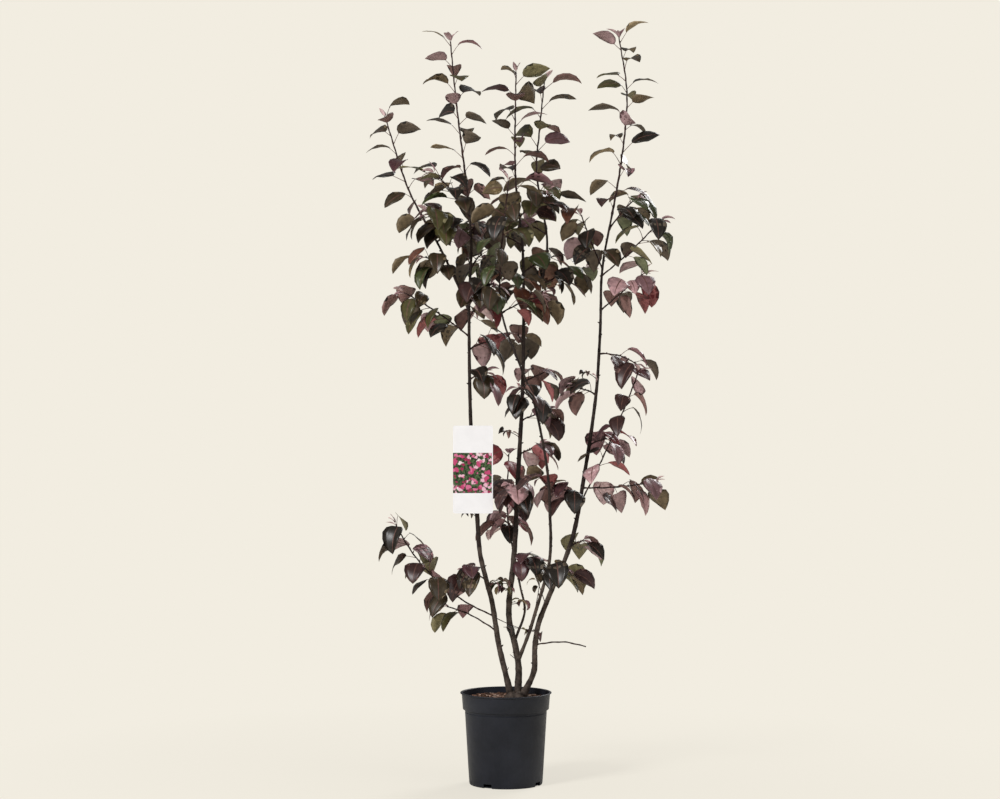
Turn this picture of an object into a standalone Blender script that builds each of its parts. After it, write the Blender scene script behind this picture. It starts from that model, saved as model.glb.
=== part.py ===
# A multi-stemmed crabapple in its nursery pot, at its real size in metres, +Z up.
# The origin is the middle of the pot's flat underside, and -Y is the side it is seen from.
# Three stems rise from one low stool in the soil. Each carries side shoots, and every shoot
# is one twig with its leaves fused on, grown by one seeded rule.

import math

import bmesh
import bpy
import numpy as np
from mathutils.bvhtree import BVHTree
from mathutils.kdtree import KDTree

# The pot: a tapered nursery container with a turned-out lip and a stepped band below it.
POT_HEIGHT = 0.240
LIP_RADIUS = 0.120
BAND_TOP_RADIUS = 0.1160
BAND_FOOT_RADIUS = 0.1128
BAND_FOOT_HEIGHT = 0.196
BODY_TOP_RADIUS = 0.1080
FOOT_RADIUS = 0.0960
LIP_THICKNESS = 0.003
WALL = 0.0022
FLOOR = 0.003
POT_SEGMENTS = 36
NOTCH_COUNT = 4
NOTCH_FIRST_DEGREES = -30.0
NOTCH_WIDTH = 0.024
NOTCH_HEIGHT = 0.011

# The soil stands a little below the lip, and pieces that meet keep this gap.
SOIL_TOP = 0.2230
GAP = 0.0003

# The stool: the low woody foot that all the stems rise from.
STOOL_CENTRE = (0.029, 0.002)
STOOL_PROFILE = [(0.0300, 0.0), (0.0255, 0.004), (0.0225, 0.010), (0.0215, 0.0165)]
STOOL_STRETCH = (1.16, 0.92)
STOOL_TOP = SOIL_TOP + GAP + STOOL_PROFILE[-1][1]
STOOL_SEGMENTS = 14

STEM_SIDES = 7
BOUGH_SIDES = 5
TWIG_SIDES = 3
STEM_STEP = 0.062
TWIG_STEP = 0.055

# The main stems: the places that each passes through, and its radius at foot and end.
# Each ends where the leafy shoot at its tip begins.
STEMS = {
    "stem_left": {
        "route": [(0.012, 0.003, STOOL_TOP + GAP), (-0.018, 0.000, 0.360), (-0.036, -0.006, 0.475),
                  (-0.067, -0.014, 0.600), (-0.076, -0.022, 0.720), (-0.092, -0.035, 0.950),
                  (-0.096, -0.048, 1.250), (-0.090, -0.055, 1.400), (-0.098, -0.062, 1.520)],
        "foot": 0.0078, "end": 0.0029},
    "stem_centre": {
        "route": [(0.031, 0.010, STOOL_TOP + GAP), (0.034, 0.014, 0.295), (0.029, 0.018, 0.345),
                  (0.012, 0.022, 0.400), (0.009, 0.026, 0.480), (0.022, 0.034, 0.600),
                  (0.032, 0.044, 0.800), (0.042, 0.052, 0.980), (0.047, 0.056, 1.150),
                  (0.045, 0.056, 1.400), (0.032, 0.052, 1.520)],
        "foot": 0.0090, "end": 0.0030},
    "stem_right": {
        "route": [(0.046, -0.009, STOOL_TOP + GAP), (0.071, -0.014, 0.286), (0.074, -0.014, 0.335),
                  (0.083, -0.012, 0.410), (0.108, -0.008, 0.480), (0.172, 0.000, 0.635),
                  (0.203, 0.006, 0.790), (0.236, 0.014, 1.010), (0.249, 0.022, 1.200),
                  (0.254, 0.028, 1.350), (0.281, 0.032, 1.500)],
        "foot": 0.0078, "end": 0.0027},
}

# Boughs leave a stem at a height and follow a route of their own, or a rise along a heading.
# Headings are degrees round from +X, and rises are degrees above level.
BOUGHS = {
    "bough_front": {
        "from": "stem_centre", "height": 0.318, "foot": 0.0048, "end": 0.0022,
        "route": [(0.056, -0.004, 0.382), (0.080, -0.030, 0.462), (0.113, -0.062, 0.587),
                  (0.114, -0.088, 0.700), (0.106, -0.104, 0.830), (0.072, -0.118, 1.000),
                  (0.028, -0.130, 1.115), (-0.012, -0.142, 1.230), (-0.016, -0.150, 1.320)]},
    "bough_back": {
        "from": "stem_centre", "height": 0.372, "foot": 0.0036, "end": 0.0020,
        "route": [(0.050, 0.060, 0.440), (0.034, 0.098, 0.530), (0.012, 0.128, 0.640)]},
    "bough_fork": {
        "from": "stem_centre", "height": 1.215, "foot": 0.0040, "end": 0.0026,
        "route": [(0.078, 0.074, 1.266), (0.106, 0.094, 1.369), (0.110, 0.108, 1.440),
                  (0.102, 0.118, 1.500)]},
    "bough_left": {
        "from": "stem_left", "height": 1.240, "foot": 0.0038, "end": 0.0026,
        "route": [(-0.124, -0.044, 1.304), (-0.170, -0.034, 1.400), (-0.205, -0.024, 1.462)]},
}

# The leafy shoots that end the stems and boughs, and those that leave them sideways.
# bare is the share of the shoot's length below its first leaf.
TIP_SHOOTS = {
    "tip_left": {"limb": "stem_left", "leaves": 18,
                 "route": [(-0.128, -0.074, 1.770), (-0.144, -0.084, 1.935)]},
    "tip_centre": {"limb": "stem_centre", "leaves": 16,
                   "route": [(0.024, 0.046, 1.680), (0.027, 0.040, 1.875)]},
    "tip_right": {"limb": "stem_right", "leaves": 20,
                  "route": [(0.308, 0.034, 1.660), (0.320, 0.036, 1.815), (0.299, 0.040, 1.965)]},
    "tip_front": {"limb": "bough_front", "leaves": 16,
                  "route": [(-0.008, -0.164, 1.430), (0.006, -0.176, 1.565)]},
    "tip_back": {"limb": "bough_back", "leaves": 11,
                 "route": [(0.004, 0.160, 0.750), (0.008, 0.190, 0.860)]},
    "tip_fork": {"limb": "bough_fork", "leaves": 16,
                 "route": [(0.082, 0.132, 1.620), (0.091, 0.140, 1.735), (0.104, 0.146, 1.865)]},
    "tip_far_left": {"limb": "bough_left", "leaves": 13,
                     "route": [(-0.262, -0.012, 1.575), (-0.318, 0.004, 1.752)]},
}
SIDE_SHOOTS = {
    "shoot_low_left": {"limb": "stem_left", "height": 0.440, "heading": 190, "rises": (22, 64),
                       "length": 0.365, "leaves": 18, "bare": 0.3},
    "shoot_lowest_left": {"limb": "stem_left", "height": 0.398, "heading": 160, "rises": (36, 12),
                          "length": 0.155, "leaves": 4, "bare": 0.45},
    "shoot_mid_left": {"limb": "stem_left", "height": 1.172, "heading": 184, "rises": (40, 28),
                       "length": 0.205, "leaves": 12, "bare": 0.12},
    "shoot_low_right": {"limb": "stem_right", "height": 0.731, "heading": -14, "rises": (60, 68),
                        "length": 0.390, "leaves": 12, "bare": 0.2},
    "shoot_flat_right": {"limb": "stem_right", "height": 0.776, "heading": 16, "rises": (-2, 10),
                         "length": 0.205, "leaves": 10, "bare": 0.1},
    "shoot_drooping_right": {"limb": "stem_right", "height": 1.128, "heading": 2, "rises": (4, -34),
                             "length": 0.105, "leaves": 5, "bare": 0.1},
    "shoot_small_right": {"limb": "stem_right", "height": 1.243, "heading": 12, "rises": (40, 40),
                          "length": 0.150, "leaves": 9, "bare": 0.15},
    "shoot_high_right": {"limb": "stem_right", "height": 1.335, "heading": -6, "rises": (38, 48),
                         "length": 0.210, "leaves": 9, "bare": 0.3},
    "shoot_inner_high": {"limb": "stem_right", "height": 1.352, "heading": 150, "rises": (66, 70),
                         "length": 0.155, "leaves": 11, "bare": 0.1},
    "twig_bare": {"limb": "stem_right", "height": 0.364, "heading": -4, "rises": (16, -18),
                  "length": 0.135, "leaves": 0, "bare": 1.0},
}
# Between the shoots named above, each limb carries spurs at even heights, turned from one
# to the next by the golden angle, or by a turn of their own.
SPURS = {
    "spur_left": {"limb": "stem_left", "heights": (1.255, 1.430), "count": 3,
                  "heading": 300, "lengths": (0.130, 0.140), "leaves": 12},
    "spur_left_top": {"limb": "stem_left", "heights": (1.480, 1.480), "count": 1,
                      "heading": 205, "rises": (58, 40), "lengths": (0.150, 0.150), "leaves": 11},
    "spur_left_low": {"limb": "stem_left", "heights": (1.060, 1.215), "count": 3,
                      "heading": 340, "turn": 50, "lengths": (0.045, 0.075), "leaves": 6},
    "spur_left_foot": {"limb": "stem_left", "heights": (0.535, 0.535), "count": 1,
                       "heading": 185, "lengths": (0.050, 0.050), "leaves": 5},
    "spur_centre_low": {"limb": "stem_centre", "heights": (0.560, 0.860), "count": 4,
                        "heading": 340, "lengths": (0.060, 0.075), "leaves": 7},
    "spur_centre_middle": {"limb": "stem_centre", "heights": (0.950, 1.150), "count": 3,
                           "heading": 340, "turn": 60, "lengths": (0.075, 0.085), "leaves": 7},
    "spur_centre_high": {"limb": "stem_centre", "heights": (1.270, 1.490), "count": 4,
                         "heading": 255, "lengths": (0.140, 0.130), "leaves": 11},
    "spur_right": {"limb": "stem_right", "heights": (0.620, 1.020), "count": 4,
                   "heading": 20, "turn": 170, "lengths": (0.045, 0.055), "leaves": 6},
    "spur_right_high": {"limb": "stem_right", "heights": (1.455, 1.455), "count": 1,
                        "heading": 12, "rises": (58, 40), "lengths": (0.115, 0.115), "leaves": 10},
    "spur_front": {"limb": "bough_front", "heights": (0.545, 1.230), "count": 4,
                   "heading": 330, "lengths": (0.060, 0.120), "leaves": 8},
    "spur_fork": {"limb": "bough_fork", "heights": (1.310, 1.450), "count": 2,
                  "heading": 20, "lengths": (0.140, 0.130), "leaves": 11},
    "spur_far_left": {"limb": "bough_left", "heights": (1.330, 1.420), "count": 2,
                      "heading": 230, "lengths": (0.120, 0.110), "leaves": 9},
}
SPUR_RISES = (32.0, 12.0)
GOLDEN_DEGREES = 137.5
SIDE_SHOOT_FOOT = 0.0017
TIP_SHOOT_FOOT = 0.0025
SHOOT_END = 0.0013

# A leaf: an ovate blade on a slender stalk. It is held out and arched near the top of the
# plant, and hangs further down it.
BLADE_LENGTH = 0.079
BLADE_WIDTH = 0.049
SHORT_BELOW = 0.91
BROAD_BELOW = 1.08
NARROW_ABOVE = 0.94
BLADE_THICKNESS = 0.0018
BLADE_MIDDLE = 0.42
BLADE_CORNERS = (0.20, 0.62)
STALK_SHARE = 0.42
STALK_RADIUS = 0.0008
STALK_ANGLE = 56.0
HELD_OUT_ABOVE = 1.68
HANGING_BELOW = 1.40
HELD_OUT = {"start": 24.0, "bend": -58.0}
HANGING = {"start": -24.0, "bend": -54.0}
TIP_LIFT = 26.0
FOLD_DEGREES = 16.0
SPARE = 0.0009
TWIG_ROOM = 0.0060
ROOM_BEYOND = 0.012
ROOM_STEP = 0.02
ROOM_SIDES = 6
TRIES = 14
LEAST_APART = 0.000004
ROOT_SHARE = 0.42
ROOT_TWISTS = tuple(0.13 * k for k in range(8))
SEED = 777

# The hanging card round the left stem, and the strap that loops it on.
CARD_WIDTH = 0.104
CARD_HEIGHT = 0.229
CARD_THICKNESS = 0.0012
CARD_TOP = 0.940
CARD_SET_FORWARD = 0.0095
CARD_SHIFT = 0.005
STRAP_WIDTH = 0.010
STRAP_THICKNESS = 0.0012
STRAP_CLEARANCE = 0.0012
STRAP_SEGMENTS = 12


def paint(obj, name, colour, roughness, metallic=0.0):
    material = bpy.data.materials.get(name)
    if material is None:
        material = bpy.data.materials.new(name)
        material.use_nodes = True
        shader = material.node_tree.nodes["Principled BSDF"]
        shader.inputs["Base Color"].default_value = (*colour, 1.0)
        shader.inputs["Roughness"].default_value = roughness
        shader.inputs["Metallic"].default_value = metallic
    obj.data.materials.clear()
    obj.data.materials.append(material)


def pot_plastic(obj):
    paint(obj, "pot_plastic", (0.020, 0.022, 0.027), 0.42)


def potting_soil(obj):
    paint(obj, "potting_soil", (0.110, 0.062, 0.040), 0.95)


def bark(obj):
    paint(obj, "bark", (0.072, 0.055, 0.046), 0.80)


def foliage(obj):
    paint(obj, "foliage", (0.052, 0.030, 0.028), 0.50)


def label_card(obj):
    paint(obj, "label_card", (0.82, 0.80, 0.80), 0.40)


def place(name, mesh, collection):
    obj = bpy.data.objects.new(name, mesh)
    collection.objects.link(obj)
    return obj


def mesh_from(name, points, faces):
    mesh = bpy.data.meshes.new(name)
    mesh.from_pydata([tuple(p) for p in points], [], faces)
    mesh.update()
    return mesh


def baked(obj):
    """The object's evaluated mesh, kept in place of the object and its modifiers."""
    bpy.context.view_layer.update()
    graph = bpy.context.evaluated_depsgraph_get()
    mesh = bpy.data.meshes.new_from_object(obj.evaluated_get(graph))
    obj.modifiers.clear()
    obj.data = mesh


def combine(obj, operation, solver="EXACT", **operand):
    modifier = obj.modifiers.new(operation.lower(), "BOOLEAN")
    modifier.operation = operation
    modifier.solver = solver
    for key, value in operand.items():
        setattr(modifier, key, value)
    baked(obj)


def turned(name, profile, segments, collection):
    """A solid of revolution about Z. The profile runs up the inside and down the outside."""
    mesh = bpy.data.meshes.new(name)
    mesh.from_pydata([(r, 0.0, z) for r, z in profile], [(i, i + 1) for i in range(len(profile) - 1)], [])
    obj = place(name, mesh, collection)
    screw = obj.modifiers.new("screw", "SCREW")
    screw.axis = "Z"
    screw.steps = screw.render_steps = segments
    screw.use_merge_vertices = True
    screw.merge_threshold = 0.00001
    baked(obj)
    return obj


def outer_radius(height):
    """The pot body's outer radius, straight from its foot to the band."""
    return FOOT_RADIUS + (BODY_TOP_RADIUS - FOOT_RADIUS) * height / BAND_FOOT_HEIGHT


def make_pot(collection, cutters):
    lip_foot = POT_HEIGHT - LIP_THICKNESS
    step_up = BAND_FOOT_HEIGHT + WALL
    profile = [
        (0.0, FLOOR),
        (outer_radius(FLOOR) - WALL, FLOOR),
        (BODY_TOP_RADIUS - WALL, step_up),
        (BAND_FOOT_RADIUS - WALL, step_up + WALL),
        (BAND_TOP_RADIUS - WALL, POT_HEIGHT),
        (LIP_RADIUS, POT_HEIGHT),
        (LIP_RADIUS, lip_foot),
        (BAND_TOP_RADIUS, lip_foot - 0.001),
        (BAND_FOOT_RADIUS, BAND_FOOT_HEIGHT),
        (BODY_TOP_RADIUS, BAND_FOOT_HEIGHT),
        (FOOT_RADIUS, 0.0),
        (0.0, 0.0),
    ]
    pot = turned("pot", profile, POT_SEGMENTS, collection)
    for k in range(NOTCH_COUNT):
        angle = math.radians(NOTCH_FIRST_DEGREES + 360.0 * k / NOTCH_COUNT)
        bpy.ops.mesh.primitive_cube_add(size=1.0)
        notch = bpy.context.object
        notch.name = f"notch_{k}"
        notch.scale = (4 * WALL + 0.006, NOTCH_WIDTH, 2 * NOTCH_HEIGHT)
        notch.location = (FOOT_RADIUS * math.cos(angle), FOOT_RADIUS * math.sin(angle), 0.0)
        notch.rotation_euler = (0.0, 0.0, angle)
        notch.display_type = "WIRE"
        notch.hide_render = True
        for owner in list(notch.users_collection):
            owner.objects.unlink(notch)
        cutters.objects.link(notch)
    combine(pot, "DIFFERENCE", operand_type="COLLECTION", collection=cutters)
    pot_plastic(pot)


def make_soil(collection):
    low = FLOOR + GAP
    step = BAND_FOOT_HEIGHT + WALL
    inset = WALL + GAP + 0.0003
    share = (SOIL_TOP - BAND_FOOT_HEIGHT) / (POT_HEIGHT - BAND_FOOT_HEIGHT)
    top_radius = BAND_FOOT_RADIUS + (BAND_TOP_RADIUS - BAND_FOOT_RADIUS) * share
    profile = [
        (0.0, SOIL_TOP),
        (top_radius - inset, SOIL_TOP),
        (BAND_FOOT_RADIUS - inset, step + WALL + GAP),
        (BODY_TOP_RADIUS - inset, step + GAP),
        (outer_radius(low) - inset, low),
        (0.0, low),
    ]
    potting_soil(turned("soil", profile, POT_SEGMENTS, collection))


def make_stool(collection):
    """The low foot of the clump, cut flat at the soil and flared like a root collar."""
    foot = SOIL_TOP + GAP
    rings = [(r, foot + z) for r, z in reversed(STOOL_PROFILE)]
    profile = [(0.0, rings[0][1])] + rings + [(0.0, foot)]
    stool = turned("stool", profile, STOOL_SEGMENTS, collection)
    for vertex in stool.data.vertices:
        vertex.co.x = vertex.co.x * STOOL_STRETCH[0] + STOOL_CENTRE[0]
        vertex.co.y = vertex.co.y * STOOL_STRETCH[1] + STOOL_CENTRE[1]
    bark(stool)


def unit(v):
    return v / max(np.linalg.norm(v), 1e-12)


def smooth_route(places, step):
    """A Catmull-Rom curve through the places, cut into near-even steps."""
    places = np.array(places, float)
    ends = np.vstack([2 * places[0] - places[1], places, 2 * places[-1] - places[-2]])
    fine = []
    for i in range(1, len(ends) - 2):
        a, b, c, d = ends[i - 1], ends[i], ends[i + 1], ends[i + 2]
        t = np.linspace(0.0, 1.0, 24, endpoint=False)[:, None]
        fine.append(0.5 * (2 * b + (c - a) * t + (2 * a - 5 * b + 4 * c - d) * t**2
                           + (3 * b - a - 3 * c + d) * t**3))
    fine = np.vstack(fine + [ends[-2][None]])
    return evenly(fine, step)


def evenly(points, step):
    """The same line, with its points spaced as near to step as fits its length."""
    lengths = np.r_[0.0, np.cumsum(np.linalg.norm(np.diff(points, axis=0), axis=1))]
    count = max(2, int(round(lengths[-1] / step)) + 1)
    even = np.linspace(0.0, lengths[-1], count)
    return np.column_stack([np.interp(even, lengths, points[:, k]) for k in range(3)])


def at_height(points, height):
    """Where a rising line passes a height, as a place and a direction."""
    i = int(np.argmax(points[:, 2] > height))
    a, b = points[i - 1], points[i]
    share = (height - a[2]) / (b[2] - a[2])
    return a + (b - a) * share, unit(b - a), (i - 1 + share) / (len(points) - 1)


def heading_line(start, heading, rises, length):
    """A line of one heading whose rise changes evenly from its start to its end."""
    turn = math.radians(heading)
    count = max(4, int(round(length / 0.01)))
    rise = np.radians(np.linspace(rises[0], rises[1], count))
    steps = np.column_stack([np.cos(rise) * math.cos(turn), np.cos(rise) * math.sin(turn),
                             np.sin(rise)]) * length / count
    return np.vstack([start, start + np.cumsum(steps, axis=0)])


def leave_limb(line, limb_direction, limb_radius):
    """Cuts a line that starts on a limb's centre so that it begins just clear of its surface.
    Gives the cut line and the outward direction of the limb's surface there."""
    out = line[min(3, len(line) - 1)] - line[0]
    out = unit(out - limb_direction * (out @ limb_direction))
    away = (line - line[0]) @ out
    reach = limb_radius + GAP
    i = int(np.argmax(away > reach))
    share = (reach - away[i - 1]) / (away[i] - away[i - 1])
    first = line[i - 1] + (line[i] - line[i - 1]) * share
    kept = line[i:]
    return np.vstack([first, kept]), out


def with_foot(line, radius, step):
    """The line in even steps after a first one long enough for its slanted foot."""
    lengths = np.r_[0.0, np.cumsum(np.linalg.norm(np.diff(line, axis=0), axis=1))]
    i = int(np.argmax(lengths > max(0.010, 3.2 * radius)))
    return np.vstack([line[:1], evenly(line[i:], step)])


def tube(points, radii, sides, foot_normal=None):
    """A closed tapering tube along points. Its first ring lies in the plane of foot_normal."""
    points = np.array(points, float)
    radii = np.array(radii, float)[:len(points)]
    tangents = np.gradient(points, axis=0)
    tangents = np.array([unit(t) for t in tangents])
    side = unit(np.cross(tangents[0], [0.31, 0.95, 0.12]))
    turns = np.arange(sides) * 2 * math.pi / sides
    rings = []
    for k, (centre, along, radius) in enumerate(zip(points, tangents, radii)):
        side = unit(side - along * (side @ along))
        other = np.cross(along, side)
        ring = centre + radius * (np.cos(turns)[:, None] * side + np.sin(turns)[:, None] * other)
        if k == 0 and foot_normal is not None:
            slide = -((ring - centre) @ foot_normal) / (along @ foot_normal)
            ring = ring + slide[:, None] * along
        rings.append(ring)
    count = len(points)
    faces = [tuple(range(sides))[::-1]]
    for k in range(count - 1):
        for j in range(sides):
            a, b = k * sides + j, k * sides + (j + 1) % sides
            faces.append((a, b, b + sides, a + sides))
    faces.append(tuple(range((count - 1) * sides, count * sides)))
    return np.vstack(rings), faces


def radii_along(points, foot, end, power=1.0):
    share = np.linspace(0.0, 1.0, len(points)) ** power
    return foot + (end - foot) * share


class Grown:
    """Everything already grown, as small closed shapes, so that new growth keeps clear."""

    def __init__(self):
        self.shapes = []
        self.centres = np.empty((0, 3))
        self.reaches = np.empty(0)
        self.owners = []

    def add(self, owner, points, faces):
        centre = points.mean(axis=0)
        self.shapes.append(tree_of(points, faces))
        self.centres = np.vstack([self.centres, centre])
        self.reaches = np.r_[self.reaches, np.linalg.norm(points - centre, axis=1).max()]
        self.owners.append(owner)

    def add_tube(self, owner, points, radii):
        """A limb or a twig, added in short lengths."""
        for k in range(len(points) - 1):
            self.add(owner, *tube(points[k:k + 2], np.array(radii[k:k + 2]) + SPARE, ROOM_SIDES))

    def hit(self, points, faces, own=None, only_own=False):
        """Whether a shape touches anything grown, apart from its own shoot or only there."""
        centre = points.mean(axis=0)
        reach = np.linalg.norm(points - centre, axis=1).max()
        near = np.where(np.linalg.norm(self.centres - centre, axis=1) < self.reaches + reach)[0]
        shape = tree_of(points, faces)
        for i in near:
            if (self.owners[i] == own) == only_own and shape.overlap(self.shapes[i]):
                return True
        return False


def tree_of(points, faces):
    return BVHTree.FromPolygons(points.tolist(), faces)


def blade_place(leaf, along, across, lift=0.0):
    """Points on a leaf's blade. along is 0 at the stalk and 1 at the tip, and across is -1 to
    1 from margin to margin. The blade is an arc that bends by leaf bend from leaf start."""
    start, bend = leaf["start"], leaf["bend"]
    angle = start + bend * along
    out = leaf["length"] * (np.sin(angle) - math.sin(start)) / bend
    up = leaf["length"] * (math.cos(start) - np.cos(angle)) / bend
    cos_h, sin_h = math.cos(leaf["heading"]), math.sin(leaf["heading"])
    centre = leaf["base"] + np.stack([out * cos_h, out * sin_h, up], axis=-1)
    over = np.stack([-np.sin(angle) * cos_h, -np.sin(angle) * sin_h, np.cos(angle)], axis=-1)
    level = np.array([-sin_h, cos_h, 0.0])
    roll = leaf["roll"]
    side = level * math.cos(roll) + over * math.sin(roll)
    face = over * math.cos(roll) - level * math.sin(roll)
    half = leaf["width"] / 2 * ovate(along)
    spread = (half * across * math.cos(leaf["fold"]))[..., None] * side
    raised = (half * abs(across) * math.sin(leaf["fold"]) + lift)[..., None] * face
    return centre + spread + raised


def ovate(along):
    """Half the blade's width, 1 at its widest, from a round base to a drawn-out tip."""
    return np.sin(math.pi * np.clip(along, 0, 1) ** 0.72) ** 0.9


def smoothstep(low, high, x):
    t = min(max((x - low) / (high - low), 0.0), 1.0)
    return t * t * (3 - 2 * t)


def try_leaf(root, along, turn, size, share, dice):
    """One leaf at a place on a twig: where its stalk and blade go, before it is tested."""
    side = unit(np.cross(along, [0.27, 0.11, 0.95] if abs(along[2]) < 0.9 else [0.95, 0.2, 0.1]))
    other = np.cross(along, side)
    radial = side * math.cos(turn) + other * math.sin(turn)
    splay = math.radians(STALK_ANGLE + dice.uniform(-12, 12))
    stalk = along * math.cos(splay) + radial * math.sin(splay)
    held = smoothstep(HANGING_BELOW, HELD_OUT_ABOVE, root[2])
    stalk = unit(stalk + np.array([0.0, 0.0, 0.10 + 0.25 * held]))
    length = BLADE_LENGTH * size * (SHORT_BELOW + (1.0 - SHORT_BELOW) * held)
    stalk_length = STALK_SHARE * length * dice.uniform(0.75, 1.15)
    start = HANGING["start"] + (HELD_OUT["start"] + TIP_LIFT * smoothstep(0.82, 1.0, share)
                                - HANGING["start"]) * held
    bend = HANGING["bend"] + (HELD_OUT["bend"] - HANGING["bend"]) * held
    lift = math.degrees(math.asin(stalk[2]))
    broad = BROAD_BELOW + (NARROW_ABOVE - BROAD_BELOW) * held
    return {
        "root": root,
        "base": root + stalk * stalk_length,
        "heading": math.atan2(stalk[1], stalk[0]) + math.radians(dice.uniform(-26, 26)),
        "start": math.radians(max(start + dice.uniform(-16, 16), lift - 82.0)),
        "bend": math.radians(bend + dice.uniform(-18, 18)),
        "roll": math.radians(dice.normal(0.0, 24.0)),
        "fold": math.radians(FOLD_DEGREES + dice.uniform(-8, 12)),
        "length": length,
        "width": BLADE_WIDTH * size * broad * dice.uniform(0.85, 1.18),
    }


def fits(leaf, grown, owner):
    """A leaf fits if its solid doesn't cross itself, and it is clear of all other shoots and,
    beyond its root, of its own."""
    if crosses_itself(*leaf_solid(leaf)) or grown.hit(*leaf_solid(leaf, SPARE), owner):
        return False
    beyond = dict(leaf, root=leaf["root"] + (leaf["base"] - leaf["root"]) * 0.35)
    return not grown.hit(*leaf_solid(beyond, SPARE), owner, True)


def crosses_itself(points, faces):
    tree = tree_of(points, faces)
    return any(not set(faces[i]) & set(faces[j]) for i, j in tree.overlap(tree))


def grow_leaves(name, shoot, grown, dice):
    """Leaves spiral up the twig by the golden angle. One that would touch a limb or another
    leaf is turned and tried again, and left out if it never fits."""
    line, count = shoot["line"], shoot["leaves"]
    if count == 0:
        return []
    lengths = np.r_[0.0, np.cumsum(np.linalg.norm(np.diff(line, axis=0), axis=1))]
    total = lengths[-1]
    first_turn = dice.uniform(0, 2 * math.pi)
    leaves = []
    for k in range(count):
        share = shoot["bare"] + (0.985 - shoot["bare"]) * (k + 0.5) / count
        for attempt in range(TRIES):
            spot = np.clip(share + dice.uniform(-0.4, 0.4) / count, 0.02, 0.985) * total
            i = int(np.clip(np.searchsorted(lengths, spot), 1, len(line) - 1))
            inside = (spot - lengths[i - 1]) / (lengths[i] - lengths[i - 1])
            root = line[i - 1] + (line[i] - line[i - 1]) * inside
            along = unit(line[i] - line[i - 1])
            turn = first_turn + math.radians(GOLDEN_DEGREES) * k + attempt * 0.9
            size = dice.uniform(0.84, 1.12)
            size *= 1.0 - 0.05 * (attempt // 4)
            leaf = try_leaf(root, along, turn, size, share, dice)
            radius = np.interp(i - 1 + inside, np.arange(len(line)), shoot["radii"])
            leaf["root_radius"] = ROOT_SHARE * radius
            if fits(leaf, grown, name):
                grown.add(name, *leaf_solid(leaf, SPARE))
                leaves.append(leaf)
                break
    return leaves


def leaf_solid(leaf, spare=0.0, twist=0.0):
    """A leaf as 22 triangles: a three-sided stalk that opens into a folded, arched blade with
    two corners on each margin. With spare it is that much fatter all round, to test for room.
    Twist turns its root."""
    thick, stalk_radius = BLADE_THICKNESS / 2 + spare, STALK_RADIUS + spare
    stalk = unit(leaf["base"] - leaf["root"])
    low, high = BLADE_CORNERS
    margin = blade_place(leaf, np.array([low, high, high, low]), np.array([1.0, 1.0, -1.0, -1.0]))
    tip = blade_place(leaf, np.array([1.0]), np.array([0.0]))[0]
    middle = np.array([BLADE_MIDDLE])
    upper = blade_place(leaf, middle, np.array([0.0]), thick)[0]
    lower = blade_place(leaf, middle, np.array([0.0]), -thick)[0]
    blade = unit((upper + lower) / 2 - leaf["base"])
    across = unit(margin[0] - margin[3])
    across = unit(across - stalk * (across @ stalk))
    below = np.cross(across, stalk)
    ring = np.array([across * 0.9 - below * 0.4, -across * 0.9 - below * 0.4, below]) * stalk_radius
    mitre = unit(stalk + blade)
    slide = -(ring @ mitre) / (stalk @ mitre)
    opened = leaf["base"] + ring + slide[:, None] * stalk
    root = ring * min(1.0, leaf["root_radius"] / STALK_RADIUS)
    root = root * math.cos(twist) + np.cross(stalk, root) * math.sin(twist)
    points = np.vstack([leaf["root"] + root, opened, margin[:2], tip, margin[2:], upper, lower])
    edge = (3, 6, 7, 8, 9, 10, 4)
    faces = [(0, 2, 1), (0, 4, 3), (0, 1, 4), (1, 5, 4), (1, 2, 5), (2, 3, 5), (2, 0, 3)]
    faces += [(b, a, 11) for a, b in zip(edge, edge[1:])] + [(3, 4, 11)]
    faces += [(a, b, 12) for a, b in zip(edge[1:-2], edge[2:-1])]
    faces += [(3, 6, 5), (6, 12, 5), (10, 4, 5), (12, 10, 5)]
    return points, faces


def face_outwards(mesh):
    work = bmesh.new()
    work.from_mesh(mesh)
    bmesh.ops.recalc_face_normals(work, faces=work.faces)
    work.to_mesh(mesh)
    work.free()


def clean_up(mesh):
    """Keeps a fused mesh's largest shell, and says whether it is closed and clean."""
    work = bmesh.new()
    work.from_mesh(mesh)
    bmesh.ops.triangulate(work, faces=work.faces)
    keep_main_piece(work)
    closed = all(len(edge.link_faces) == 2 for edge in work.edges)
    clean = closed and least_apart(work) > LEAST_APART
    work.to_mesh(mesh)
    work.free()
    return clean


def least_apart(work):
    """The distance between the two nearest points of a mesh."""
    tree = KDTree(len(work.verts))
    for i, vertex in enumerate(work.verts):
        tree.insert(vertex.co, i)
    tree.balance()
    return min(tree.find_n(vertex.co, 2)[1][2] for vertex in work.verts)


def keep_main_piece(work):
    """Keeps the largest closed shell: a hollow left by fusing is filled, and scraps dropped."""
    work.faces.ensure_lookup_table()
    seen, shells = set(), []
    for first in work.faces:
        if first in seen:
            continue
        shell, edge_of_search = [], [first]
        seen.add(first)
        while edge_of_search:
            face = edge_of_search.pop()
            shell.append(face)
            for edge in face.edges:
                for other in edge.link_faces:
                    if other not in seen:
                        seen.add(other)
                        edge_of_search.append(other)
        shells.append(shell)
    if len(shells) > 1:
        shells.sort(key=shell_volume)
        spare = [face for shell in shells[:-1] for face in shell]
        bmesh.ops.delete(work, geom=spare, context="FACES")


def shell_volume(shell):
    """The volume that a shell of faces encloses, negative for the skin of a hollow."""
    total = 0.0
    for face in shell:
        first = face.verts[0].co
        for a, b in zip(face.verts[1:-1], face.verts[2:]):
            total += first.dot(a.co.cross(b.co)) / 6.0
    return total


def solid_object(name, points, faces, collection):
    mesh = mesh_from(name, points, faces)
    face_outwards(mesh)
    return place(name, mesh, collection)


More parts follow.
